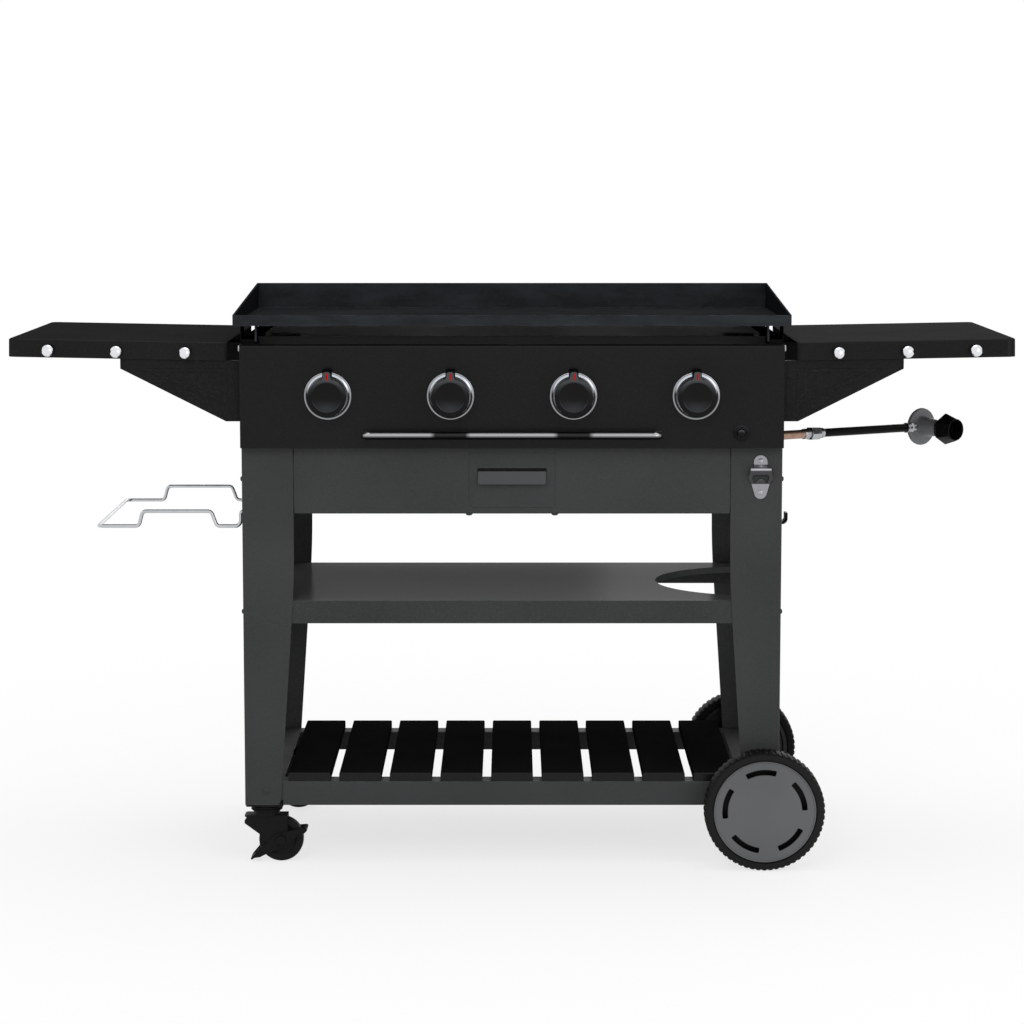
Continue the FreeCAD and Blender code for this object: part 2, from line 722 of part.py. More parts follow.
def front_shield():
    """Inner front wall that the burners' necks pass through."""
    y = (SHIELD_Y, SHIELD_Y + BOX_SHEET)
    low = FRAME_TOP + 2 * BOX_SHEET
    wall = box((-SHIELD_HALF, SHIELD_HALF), y, (low, SHIELD_TOP))
    inner = FRAME_HALF_X - BOX_SHEET
    wing_z = (FRAME_TOP + 33, PANEL_TOP - 2.5)
    parts = []
    for way in (-1, 1):
        parts.append(box((way * (SHIELD_HALF - 1), way * inner), y, wing_z))
        parts.append(box((way * (inner - BOX_SHEET), way * inner), (y[0] - 14, y[1]), wing_z))
    body = fused(wall, *parts)
    for x in BURNER_X:
        body = body.cut(rod(NECK_RADIUS + 0.1, (x, y[0] - 2, BURNER_Z), (x, y[1] + 2, BURNER_Z)))
        spark = electrode_spot(x)
        body = body.cut(rod(3.6, (spark[0], y[0] - 2, spark[1]), (spark[0], y[1] + 2, spark[1])))
    return body


def griddle_plate():
    """Heavy plate with a low front lip, sloping sides and a tall back."""
    top = GRIDDLE_BOTTOM + GRIDDLE_LIP
    back_top = GRIDDLE_BOTTOM + GRIDDLE_REAR_WALL
    side = [
        (GRIDDLE_FRONT, GRIDDLE_BOTTOM),
        (GRIDDLE_BACK, GRIDDLE_BOTTOM),
        (GRIDDLE_BACK, back_top),
        (GRIDDLE_BACK - GRIDDLE_WALL, back_top),
        (GRIDDLE_FRONT + GRIDDLE_WALL, top),
        (GRIDDLE_FRONT, top),
    ]
    outer = face(side, yz(-GRIDDLE_HALF)).extrude(V(2 * GRIDDLE_HALF, 0, 0))
    outer = rounded(outer, 2.5, upright)
    half = GRIDDLE_HALF - GRIDDLE_WALL
    inner = box(
        (-half, half),
        (GRIDDLE_FRONT + GRIDDLE_WALL, GRIDDLE_BACK - GRIDDLE_WALL),
        (GRIDDLE_BOTTOM + GRIDDLE_PLATE, back_top + 1),
    )
    drain = rod(DRAIN_RADIUS, (0, DRAIN_Y, GRIDDLE_BOTTOM - 1), (0, DRAIN_Y, top))
    plate = outer.cut(inner).cut(drain)
    stop_y = (DRAIN_Y - STOP_LENGTH, DRAIN_Y)
    stop = box(STOP_X, stop_y, (BOX_TOP - 3.0, GRIDDLE_BOTTOM))
    return plate.fuse([stop, mirror_x(stop)])


# Burners, valves and manifold

def electrode_spot(x):
    """Place of the spark electrode beside a burner, as (x, z)."""
    return (x + BURNER_RADIUS + 5.0, BURNER_Z + 12.0)


def burner(x):
    """Tube burner with a necked mouth and a flat tail that rests on the back ledge."""
    neck = SHIELD_Y - 10.0
    wall = BURNER_WALL
    shoulder = SHIELD_Y + 14.0
    full = shoulder + 14.0
    profile = [
        (NECK_RADIUS - wall, 0.0),
        (NECK_RADIUS, 0.0),
        (NECK_RADIUS, shoulder - neck),
        (BURNER_RADIUS, full - neck),
        (BURNER_RADIUS, BURNER_BACK - neck),
        (0.0, BURNER_BACK - neck),
        (0.0, BURNER_BACK - neck - wall),
        (BURNER_RADIUS - wall, BURNER_BACK - neck - wall),
        (BURNER_RADIUS - wall, full - neck),
        (NECK_RADIUS - wall, shoulder - neck),
    ]
    tube = turned(profile, (x, neck, BURNER_Z), (0, 1, 0))
    low = BURNER_Z - TAIL_DROP
    tail_end = FRAME_HALF_Y - BOX_SHEET - 2.0
    tail = box((x - 12, x + 12), (BURNER_BACK - wall, tail_end), (low, low + 3.0))
    return fused(tube, tail)


def burners():
    return group(*[burner(x) for x in BURNER_X])


def igniter_electrodes():
    """Ceramic rods that reach through the shield beside each burner."""
    rods = []
    for x in BURNER_X:
        spot = electrode_spot(x)
        start = (spot[0], SHIELD_Y - 14, spot[1])
        profile = [
            (0, 0), (3.5, 0), (3.5, 11), (6.0, 11), (6.0, 14),
            (3.5, 14), (3.5, 50), (1.0, 52), (1.0, 66), (0, 66),
        ]
        rods.append(turned(profile, start, (0, 1, 0)))
    return group(*rods)


def along_pipe(distance):
    """Point on the centre line of the gas inlet, measured from its reference point."""
    spot = PIPE_START + pipe_way() * distance
    return (spot.x, spot.y, spot.z)


def pipe_way():
    return V(PIPE_DIRECTION).normalize()


def pipe_inner():
    """Where the inlet pipe turns up to the manifold."""
    return along_pipe(PIPE_TURN)


def gas_manifold():
    end_x, y = pipe_inner()[:2]
    start_x = BURNER_X[0] - MANIFOLD_OVERHANG
    main = rod(MANIFOLD_RADIUS, (start_x, y, MANIFOLD_Z), (end_x, y, MANIFOLD_Z))
    drop = rod(MANIFOLD_RADIUS, (end_x, y, MANIFOLD_Z), (end_x, y, MANIFOLD_Z - MANIFOLD_DROP))
    corner = Part.makeSphere(MANIFOLD_RADIUS, V(end_x, y, MANIFOLD_Z))
    return fused(main, drop, corner)


def gas_valve(x):
    """Valve on the manifold, bored for the knob's stem and the seat that it pushes."""
    y = pipe_inner()[1]
    start = (x, PANEL_BACK, BURNER_Z)
    nozzle_end = SHIELD_Y + 6.0
    chamber = (STEM_END - 4.0, STEM_END + SEAT_LENGTH + PUSH + 3.0)
    bore = STEM_RADIUS + RUNNING
    wide = SEAT_RADIUS + RUNNING
    base = PANEL_BACK
    profile = [
        (bore, 0),
        (14.0, 0),
        (14.0, 2.8),
        (9.0, 2.8),
        (9.0, chamber[0] - 2.0 - base),
        (13.0, chamber[0] - 2.0 - base),
        (13.0, y + 10.0 - base),
        (6.0, y + 10.0 - base),
        (6.0, nozzle_end - base),
        (0, nozzle_end - base),
        (0, chamber[1] - base),
        (wide, chamber[1] - base),
        (wide, chamber[0] - base),
        (bore, chamber[0] - base),
    ]
    body = turned(profile, start, (0, 1, 0))
    saddle = rod(8.0, (x, y, BURNER_Z - 9.0), (x, y, MANIFOLD_Z))
    hollow = rod(wide + 0.5, (x, chamber[0], BURNER_Z), (x, chamber[1], BURNER_Z))
    saddle = saddle.cut(rod(MANIFOLD_RADIUS, (x - 20, y, MANIFOLD_Z), (x + 20, y, MANIFOLD_Z)))
    return fused(body, saddle.cut(hollow))


def gas_valves():
    return group(*[gas_valve(x) for x in BURNER_X])


def drip_chute():
    """Funnel behind the panel that leads the grease down into the drawer."""
    back = SHIELD_Y
    top = PANEL_TOP - 4.5
    throat = PANEL_TOP - 72.5
    mouth_front = back - 46.0
    pipe_front = pipe_inner()[1] + MANIFOLD_RADIUS + 1.2
    outlet = TRAY_TOP + 8.0
    side = [
        (back, outlet), (back, top), (mouth_front, top), (mouth_front, top - 12),
        (pipe_front, throat), (pipe_front, outlet),
    ]
    wall = 1.0
    outer = face(side, yz(-CHUTE_HALF)).extrude(V(2 * CHUTE_HALF, 0, 0))
    hollow_side = [
        (back - wall, outlet - 1), (back - wall, top + 1), (mouth_front + wall, top + 1),
        (mouth_front + wall, top - 12), (pipe_front + wall, throat), (pipe_front + wall, outlet - 1),
    ]
    half = CHUTE_HALF - wall
    hollow = face(hollow_side, yz(-half)).extrude(V(2 * half, 0, 0))
    return outer.cut(hollow)


# Controls on the panel

def knob_bezels():
    """Rings under the knobs, crowned towards the knob's skirt."""
    bore = 12.0
    crest = KNOB_RADIUS + BEZEL_GAP
    profile = [
        (bore, 0.0),
        (BEZEL_RADIUS, 0.0),
        (BEZEL_RADIUS, 1.0),
        (BEZEL_RADIUS - 0.4, 1.7, BEZEL_RADIUS - 1.2, 2.0),
        (crest + 0.6, BEZEL_CROWN),
        (crest, BEZEL_CROWN),
        (crest, 1.4),
        (bore, 1.4),
    ]
    return group(*[turned(profile, (x, PANEL_FRONT, BURNER_Z), (0, -1, 0)) for x in BURNER_X])


def lobe_wire(x, size, depth):
    """Outline of the pointer lobe at one depth; size is its half width and its tip's radius."""
    half, tip = size
    corner = 4.0
    bite = corner * (1 - math.sqrt(0.5))
    foot = KNOB_RADIUS - 3.0
    flare = half + 6.0
    outline = [
        (-flare, foot - 2.0),
        (flare, foot - 2.0),
        (half + 1.5, foot + 1.8, half, foot + 7.0),
        (half, tip - corner),
        (half - bite, tip - bite, half - corner, tip),
        (-half + corner, tip),
        (-half + bite, tip - bite, -half, tip - corner),
        (-half, foot + 7.0),
        (-half - 1.5, foot + 1.8, -flare, foot - 2.0),
    ]
    return face(outline, lambda u, v: V(x + u, KNOB_FACE + depth, BURNER_Z + v)).OuterWire


def knob(x):
    """Moulded knob: dished face, rim falling back, pointer lobe, hollow skirt and stem."""
    depth = KNOB_SKIRT - KNOB_FACE
    stem = STEM_END - KNOB_FACE
    web = DISH_DEPTH + 3.0
    profile = [
        (0, DISH_DEPTH),
        (DISH_RADIUS / 2, DISH_DEPTH - 0.7, DISH_RADIUS, 0.6),
        (DISH_RADIUS + 0.6, 0.15, CREST_RADIUS, 0.0),
        (KNOB_RADIUS - 1.4, RIM_FALL),
        (KNOB_RADIUS - 0.4, RIM_FALL + 0.5, KNOB_RADIUS, RIM_FALL + 1.6),
        (KNOB_RADIUS, depth),
        (KNOB_RADIUS - 2.2, depth),
        (KNOB_RADIUS - 2.8, web),
        (9.0, web),
        (9.0, depth + 3.4),
        (STEM_RADIUS, depth + 3.4),
        (STEM_RADIUS, stem),
        (0, stem),
    ]
    body = turned(profile, (x, KNOB_FACE, BURNER_Z), (0, 1, 0))
    near = lobe_wire(x, LOBE_FRONT, RIM_FALL)
    far = lobe_wire(x, LOBE_BACK, RIM_FALL + LOBE_DEPTH)
    return fused(body, Part.makeLoft([near, far], True, True))


def stem_seat(x):
    """Sprung seat in the valve that the stem pushes back."""
    return rod(SEAT_RADIUS, (x, STEM_END, BURNER_Z), (x, STEM_END + SEAT_LENGTH, BURNER_Z))


def igniter_housing():
    """Ring on the panel with a barrel behind it."""
    bore = BUTTON_RADIUS + RUNNING
    profile = [
        (bore, 0), (12.0, 0), (13.0, 0.4, 13.5, 1.4), (13.5, 3.2), (10.0, 3.2),
        (10.0, 40.0), (0, 40.0), (0, 36.0), (bore, 36.0),
    ]
    return turned(profile, (IGNITER_X, PANEL_FRONT - 3.2, IGNITER_Z), (0, 1, 0))


def igniter_button():
    profile = [
        (0, 0), (5.0, 0.3), (6.8, 0.8, BUTTON_RADIUS, 2.2), (BUTTON_RADIUS, 21.0), (0, 21.0),
    ]
    return turned(profile, (IGNITER_X, PANEL_FRONT - 6.4, IGNITER_Z), (0, 1, 0))


def towel_bar():
    """Round bar whose ends turn back into the panel and are nutted behind it."""
    x = BAR_HALF - BAR_RADIUS
    end = PANEL_BACK + 6.0
    bar = bent_rod(
        [(-x, end, BAR_Z), (-x, BAR_Y, BAR_Z), (x, BAR_Y, BAR_Z), (x, end, BAR_Z)],
        [BAR_BEND, BAR_BEND],
        BAR_RADIUS,
    )
    nuts = [rod(7.0, (way * x, PANEL_BACK, BAR_Z), (way * x, PANEL_BACK + 5.0, BAR_Z))
            for way in (-1, 1)]
    return fused(bar, *nuts)


# Side shelves

def tilted(x, z):
    """Height of a line that starts at the shelf's inner end and rises outwards."""
    return z + (x - SHELF_START) * math.tan(math.radians(SHELF_TILT))


def side_shelf():
    """Right shelf: a pan upside down, open at its inner end, tilted up outwards."""
    end = SHELF_START + SHELF_LENGTH
    low = SHELF_INNER_TOP - SHELF_LIP
    wall = PANEL_SHEET
    outer = box((SHELF_START, end), (SHELF_FRONT, SHELF_BACK), (low, SHELF_INNER_TOP))
    outer = rounded(outer, 14.0, lambda edge: upright(edge) and edge.BoundBox.XMin > end - 1)
    outer = rounded(outer, 3.0, lambda edge: shelf_rim(edge))
    hollow = box(
        (SHELF_START - 1, end - wall),
        (SHELF_FRONT + wall, SHELF_BACK - wall),
        (low + wall, SHELF_INNER_TOP - wall),
    )
    hollow = rounded(hollow, 12.8, lambda edge: upright(edge) and edge.BoundBox.XMin > end - 2)
    mouth = box(
        (SHELF_START - 1, end - SHELF_RETURN),
        (SHELF_FRONT + SHELF_RETURN, SHELF_BACK - SHELF_RETURN),
        (low - 1, low + 2),
    )
    pan = outer.cut(hollow).cut(mouth)
    pan.rotate(V(SHELF_START, 0, SHELF_INNER_TOP), V(0, 1, 0), -SHELF_TILT)
    return pan


def shelf_rim(edge):
    """True for the shelf's top edges, apart from the one at its open end."""
    bounds = edge.BoundBox
    return bounds.ZMin > SHELF_INNER_TOP - 0.01 and bounds.XMax > SHELF_START + 0.01


def shelf_bracket():
    """Front right gusset: a folded triangular plate with a pressed rib."""
    plane = SHELF_FRONT + 3.0
    under = SHELF_INNER_TOP - SHELF_LIP / math.cos(math.radians(SHELF_TILT))
    inner = FRAME_HALF_X
    lowest = BRACKET_BOTTOM
    outer_low = SHELF_START + 2.5
    web = face([
        (inner, lowest),
        (outer_low, lowest),
        (BRACKET_REACH, BRACKET_NOSE),
        (BRACKET_REACH, tilted(BRACKET_REACH, under)),
        (inner, tilted(inner, under)),
    ], xz(plane)).extrude(V(0, BRACKET_SHEET, 0))
    shelf = face([
        (inner, tilted(inner, under) - BRACKET_SHEET),
        (BRACKET_REACH, tilted(BRACKET_REACH, under) - BRACKET_SHEET),
        (BRACKET_REACH, tilted(BRACKET_REACH, under)),
        (inner, tilted(inner, under)),
    ], xz(plane)).extrude(V(0, SHELF_RETURN, 0))
    wall = box((inner, inner + BRACKET_SHEET), (plane, plane + 22.0), (lowest, tilted(inner, under)))
    (left, right), (low, high) = RIB_X, RIB_Z
    rib_points = [(left, low), (right, high), (left, high)]
    ridge = face(rib_points, xz(plane - RIB_HEIGHT)).extrude(V(0, RIB_HEIGHT, 0))
    dimple_points = [(left + 8.0, low + 10.5), (right - 28.0, high - 5.0), (left + 8.0, high - 5.0)]
    dimple = face(dimple_points, xz(plane - 2 * RIB_HEIGHT)).extrude(V(0, 2 * RIB_HEIGHT, 0))
    return fused(web, shelf, wall, ridge.cut(dimple))


def shelf_brackets():
    front = shelf_bracket()
    middle = (SHELF_FRONT + SHELF_BACK) / 2
    rear = mirror_y(front, middle)
    return group(front, rear, mirror_x(front), mirror_x(rear))


def shelf_hooks():
    """Mushroom hooks on the front lip of each shelf."""
    head, rim, rise = PEG_HEAD, PEG_LENGTH - PEG_DOME, PEG_DOME
    sphere = (head ** 2 + rise ** 2) / (2 * rise)
    half = math.asin(head / sphere) / 2
    crown = (sphere * math.sin(half), PEG_LENGTH - sphere * (1 - math.cos(half)))
    profile = [
        (0, 0), (5.5, 0), (5.5, 2.0), (4.5, 3.0), (4.5, rim - 3.0), (head - 0.6, rim - 2.0),
        (head, rim - 1.2), (head, rim), (*crown, 0, PEG_LENGTH),
    ]
    hooks = []
    for x in PEG_AT:
        z = tilted(x, SHELF_INNER_TOP - PEG_DROP)
        hooks.append(turned(profile, (x, SHELF_FRONT, z), (0, -1, 0)))
    hooks += [mirror_x(hook) for hook in hooks]
    return group(*hooks)


# Drawer

def drawer_front():
    """Flat front with a slot that the pull comes out of."""
    y = (-FRAME_HALF_Y, -FRAME_HALF_Y + SHEET)
    front = box((-DRAWER_HALF, DRAWER_HALF), y, DRAWER_Z)
    front = rounded(front, 2.0, lambda edge: edge.BoundBox.YLength > 1.0)
    slot = box((-HANDLE_HALF - 0.6, HANDLE_HALF + 0.6), (y[0] - 1, y[1] + 1), HANDLE_SLOT)
    return front.cut(slot)


def drawer_handle():
    """Pull: a folded plate through the slot, leaning out over the finger room."""
    back = -FRAME_HALF_Y + SHEET
    lean = [
        (back + SHEET / 2, HANDLE_TOP),
        (back + SHEET / 2, HANDLE_BEND),
        (-FRAME_HALF_Y - HANDLE_LEAN, HANDLE_TIP),
    ]
    plate = strip(lean, 4.0, SHEET, yz(-HANDLE_HALF)).extrude(V(2 * HANDLE_HALF, 0, 0))
    return rounded(plate, 4.0, lambda edge: pull_corner(edge))


def pull_corner(edge):
    """True for the two short edges at the pull's free corners."""
    bounds = edge.BoundBox
    short = bounds.XLength < 0.01 and edge.Length < SHEET + 0.1
    return short and bounds.ZMax < HANDLE_TIP + 2.2


def drawer_tray():
    """Grease tray behind the drawer's front."""
    y = (-FRAME_HALF_Y + SHEET, TRAY_BACK)
    low = DRAWER_Z[0] + TRAY_LIFT
    outer = box((-TRAY_HALF, TRAY_HALF), y, (low, TRAY_TOP))
    outer = rounded(outer, 5.0, upright)
    wall = PANEL_SHEET
    half = TRAY_HALF - wall
    inner = box((-half, half), (y[0] + wall, y[1] - wall), (low + wall, TRAY_TOP + 1))
    inner = rounded(inner, 3.8, upright)
    return outer.cut(inner)


def drawer_runner():
    """Right runner: a folded rail on the front and rear aprons' lower flanges."""
    end = FRAME_HALF_Y - SHEET / 2 - BEND
    y = (-end, end)
    foot_z = APRON_BOTTOM + SHEET
    web_x = (DRAWER_HALF + DRAWER_GAP - SHEET, DRAWER_HALF + DRAWER_GAP)
    ledge_top = DRAWER_Z[0] + TRAY_LIFT - 0.2
    foot = box((web_x[0], web_x[1] + 13), y, (foot_z, foot_z + SHEET))
    web = box(web_x, y, (foot_z, foot_z + RUNNER_HEIGHT))
    ledge = box((web_x[0] - 9, web_x[1]), y, (ledge_top - SHEET, ledge_top))
    return fused(foot, web, ledge)


def drawer_runners():
    right = drawer_runner()
    return group(right, mirror_x(right))


# Wheels

def wheel_axle():
    """Axle through both right legs, with a spacer collar outside each."""
    y = WHEEL_OUTER - 7.0
    axle = rod(AXLE_RADIUS, (WHEEL_X, -y, WHEEL_RADIUS), (WHEEL_X, y, WHEEL_RADIUS))
    collar_end = WHEEL_OUTER - WHEEL_WIDTH - 0.3
    collars = []
    for way in (-1, 1):
        start = (WHEEL_X, way * FRAME_HALF_Y, WHEEL_RADIUS)
        end = (WHEEL_X, way * collar_end, WHEEL_RADIUS)
        collars.append(rod(10.0, start, end))
    return fused(axle, *collars)


def wheel_hub():
    """Front hub: a hollow drum with five arc slots in its outer face and a blind bore."""
    width = WHEEL_WIDTH
    bore = AXLE_RADIUS + 0.05
    face_at = 3.0
    back = width - 1.4
    profile = [
        (0, face_at),
        (HUB_RADIUS - 3.0, face_at),
        (HUB_RADIUS - 1.5, 1.4),
        (HUB_RADIUS, 1.4),
        (HUB_RADIUS, back),
        (HUB_RADIUS - 5.0, back),
        (HUB_RADIUS - 7.0, back - 6.0),
        (20.0, back - 6.0),
        (16.0, width),
        (bore, width),
        (bore, face_at + HUB_FACE),
        (0, face_at + HUB_FACE),
    ]
    hub = turned(profile, (WHEEL_X, -WHEEL_OUTER, WHEEL_RADIUS), (0, 1, 0))
    drum = [
        (17.0, face_at + HUB_FACE),
        (HUB_RADIUS - 5.0, face_at + HUB_FACE),
        (HUB_RADIUS - 7.0, back - 6.0 - HUB_WALL),
        (17.0, back - 6.0 - HUB_WALL),
    ]
    hub = hub.cut(turned(drum, (WHEEL_X, -WHEEL_OUTER, WHEEL_RADIUS), (0, 1, 0)))
    half = math.radians(SLOT_SPREAD)
    for index in range(5):
        centre = math.radians(SLOT_TURN + 72.0 * index)
        hub = hub.cut(arc_slot(SPOKE_SLOT, centre, half))
    return hub


def arc_slot(radii, centre, half):
    """Cutter for one slot along an arc, with rounded ends."""
    def spot(radius, angle):
        return (WHEEL_X + radius * math.cos(angle), WHEEL_RADIUS + radius * math.sin(angle))
    low, high = radii
    middle = (low + high) / 2
    cap = (high - low) / 2 / middle
    first, last = centre - half, centre + half
    outline = [
        spot(low, first),
        spot(low, centre) + spot(low, last),
        spot(middle, last + cap) + spot(high, last),
        spot(high, centre) + spot(high, first),
        spot(middle, first - cap) + spot(low, first),
    ]
    return face(outline, xz(-WHEEL_OUTER - 1)).extrude(V(0, 12, 0))


def wheel_tyre():
    """Front tyre, with plain rounded shoulders."""
    width = WHEEL_WIDTH
    profile = [
        (HUB_RADIUS, 1.0),
        (HUB_RADIUS + 4.0, 0.0),
        (WHEEL_RADIUS - 7.0, 0.0),
        (WHEEL_RADIUS - 2.0, 2.0, WHEEL_RADIUS, 7.0),
        (WHEEL_RADIUS, width - 7.0),
        (WHEEL_RADIUS - 2.0, width - 2.0, WHEEL_RADIUS - 7.0, width),
        (HUB_RADIUS + 4.0, width),
        (HUB_RADIUS, width - 1.0),
    ]
    return turned(profile, (WHEEL_X, -WHEEL_OUTER, WHEEL_RADIUS), (0, 1, 0))


# Casters

CROWN_LOW = CASTER_LEG_BOTTOM - 23.1
CROWN_TOP = CROWN_LOW + FORK_SHEET
RACE_LOW = CASTER_LEG_BOTTOM - 13.6
CASTER_X = SWIVEL_X + CASTER_TRAIL


def caster_plate():
    """Bolted plate, bearing race and kingpin of the front caster."""
    foot = leg_width(CASTER_LEG_BOTTOM)
    x = (-FRAME_HALF_X + 1.0, -FRAME_HALF_X + foot + 4.0)
    y = (-FRAME_HALF_Y + 1.0, -CASTER_Y + 29.0)
    plate = box(x, y, (CASTER_LEG_BOTTOM - 3.0, CASTER_LEG_BOTTOM))
    plate = rounded(plate, 4.0, upright)
    race = rod(24.0, (SWIVEL_X, -CASTER_Y, RACE_LOW), (SWIVEL_X, -CASTER_Y, CASTER_LEG_BOTTOM - 3.0))
    pin = rod(PIN_RADIUS, (SWIVEL_X, -CASTER_Y, CROWN_LOW - 1.0), (SWIVEL_X, -CASTER_Y, RACE_LOW))
    head = rod(7.5, (SWIVEL_X, -CASTER_Y, CROWN_LOW - 3.8), (SWIVEL_X, -CASTER_Y, CROWN_LOW - 0.3))
    return fused(plate, race, pin, head)


def caster_plates():
    front = caster_plate()
    return group(front, mirror_y(front))


def caster_fork():
    """Front fork: bearing cup, crown, two cheeks and the axle pin."""
    half = CASTER_WIDTH / 2 + 2.5
    outer = half + FORK_SHEET
    left = SWIVEL_X - 36.4
    right = SWIVEL_X + 35.6
    y = (-CASTER_Y - outer, -CASTER_Y + outer)
    crown = rounded(box((left, right), y, (CROWN_LOW, CROWN_TOP)), 6.0, upright)
    cup = rod(22.0, (SWIVEL_X, -CASTER_Y, CROWN_TOP - 0.5), (SWIVEL_X, -CASTER_Y, RACE_LOW - 0.3))
    boss = 12.0
    cheek_points = [
        (left + 6.0, CROWN_TOP),
        (left, CROWN_TOP - 8.0),
        (left, CASTER_RADIUS + 28.5),
        (CASTER_X - 35.8, CASTER_RADIUS + 10.0),
        (CASTER_X - 35.8, CASTER_RADIUS - 9.5),
        (CASTER_X, CASTER_RADIUS - boss),
        (CASTER_X + boss * 0.7071, CASTER_RADIUS - boss * 0.7071, CASTER_X + boss, CASTER_RADIUS),
        (right, CASTER_RADIUS + 15.5),
        (right, CROWN_TOP),
    ]
    parts = [cup]
    for at in (-CASTER_Y - outer, -CASTER_Y + half):
        parts.append(face(cheek_points, xz(at)).extrude(V(0, FORK_SHEET, 0)))
    pin_half = outer + 5.5
    parts.append(rod(
        PIN_RADIUS,
        (CASTER_X, -CASTER_Y - pin_half, CASTER_RADIUS),
        (CASTER_X, -CASTER_Y + pin_half, CASTER_RADIUS),
    ))
    for way in (-1, 1):
        y_nut = -CASTER_Y + way * (outer + 2.9)
        parts.append(hex_prism(9.0, (CASTER_X, y_nut, CASTER_RADIUS), (0, way * 3.6, 0)))
    body = fused(crown, *parts)
    bore = rod(
        PIN_RADIUS + RUNNING,
        (SWIVEL_X, -CASTER_Y, CROWN_LOW - 1),
        (SWIVEL_X, -CASTER_Y, RACE_LOW + 1),
    )
    return body.cut(bore)


def hexagon(radius, start, run):
    """Six-sided outline square to a direction; radius is over its corners."""
    along = V(*run)
    across = V(0, 0, 1) if abs(along.z) < along.Length / 2 else V(1, 0, 0)
    across = (across - along * (across.dot(along) / along.dot(along))).normalize()
    other = along.cross(across).normalize()
    base = V(*start)
    corners = []
    for index in range(7):
        angle = math.radians(60 * index)
        corners.append(base + across * (radius * math.cos(angle)) + other * (radius * math.sin(angle)))
    return Part.makePolygon(corners)


def hex_prism(radius, start, run):
    """Hexagonal nut between two points; radius is over its corners."""
    return Part.Face(hexagon(radius, start, run)).extrude(V(*run))


def caster_wheel():
    """Front caster wheel with recessed sides and a hub."""
    half = CASTER_WIDTH / 2
    bore = PIN_RADIUS + RUNNING
    hub = half + 2.0
    profile = [
        (bore, -hub), (12.0, -hub), (12.0, -half + 2.0), (25.0, -half + 2.0), (26.5, -half),
        (CASTER_RADIUS - 4.0, -half),
        (CASTER_RADIUS - 1.2, -half + 1.2, CASTER_RADIUS, -half + 4.0),
        (CASTER_RADIUS, half - 4.0),
        (CASTER_RADIUS - 1.2, half - 1.2, CASTER_RADIUS - 4.0, half),
        (26.5, half), (25.0, half - 2.0), (12.0, half - 2.0), (12.0, hub), (bore, hub),
    ]
    return turned(profile, (CASTER_X, -CASTER_Y, CASTER_RADIUS), (0, 1, 0))


def caster_pedal():
    """Front brake pedal: two leaf-shaped cheeks on the axle pin, joined by a tread and a tab."""
    arm_in = CASTER_WIDTH / 2 + 2.5 + FORK_SHEET + 0.3
    arm_out = arm_in + 2.0
    leaf = [
        (-50.8, -31.5), (-34.5, -11.9), (-23.9, -6.3), (-17.0, 2.0), (-11.3, 9.5), (1.7, 13.4),
        (31.0, 18.8), (41.0, 19.6), (44.0, 18.3), (43.5, 15.5), (39.7, 11.7), (28.5, 7.0),
        (17.0, -3.0), (10.0, -11.0), (-2.0, -16.0), (-12.0, -19.0), (-23.9, -23.5), (-35.4, -29.1),
        (-44.7, -30.6), (-49.5, -33.8),
    ]
    tread = [(-50.8, -31.5), (-49.5, -33.8), (-44.7, -30.6), (-38.0, -29.5), (-38.3, -27.5), (-45.5, -28.6)]
    tab = [(37.0, 19.3), (41.0, 19.6), (44.0, 18.3), (43.8, 16.2), (40.6, 17.4), (37.0, 17.2)]
    cheeks = []
    for low in (-arm_out, arm_in):
        cheeks.append(face(leaf, xz(low)).extrude(V(0, arm_out - arm_in, 0)))
    links = [face(link, xz(-arm_out)).extrude(V(0, 2 * arm_out, 0)) for link in (tread, tab)]
    pedal = fused(cheeks[0], cheeks[1], *links)
    pedal = pedal.cut(rod(PIN_RADIUS + RUNNING, (0, -arm_out - 1, 0), (0, arm_out + 1, 0)))
    pedal.translate(V(CASTER_X, -CASTER_Y, CASTER_RADIUS))
    return pedal


# Gas inlet, hose and regulator

def gas_inlet_pipe():
    """Copper pipe from the manifold out through the right wall, with its collar and nut."""
    inner = pipe_inner()
    top = (inner[0], inner[1], MANIFOLD_Z - MANIFOLD_DROP)
    pipe = bent_rod([top, inner, along_pipe(PIPE_END)], [18.0], PIPE_RADIUS)
    collar = rod(PIPE_RADIUS + 1.25, along_pipe(PIPE_END - 15), along_pipe(PIPE_END))
    run = pipe_way() * NUT_FLATS
    nut = hex_prism(11.5, along_pipe(PIPE_END), (run.x, run.y, run.z))
    ferrule = rod(FERRULE_RADIUS, along_pipe(PIPE_END + NUT_FLATS), along_pipe(NUT_END))
    return group(fused(pipe, collar), fused(nut, ferrule))


def gas_hose():
    return rod(HOSE_RADIUS, along_pipe(NUT_END), along_pipe(HOSE_END))


def regulator_axis():
    """Level direction square to the hose, towards the tank's valve."""
    way = pipe_way()
    return V(way.y, -way.x, 0).normalize()


def at_regulator(distance):
    spot = V(*along_pipe(REGULATOR_AT)) + regulator_axis() * distance
    return (spot.x, spot.y, spot.z)


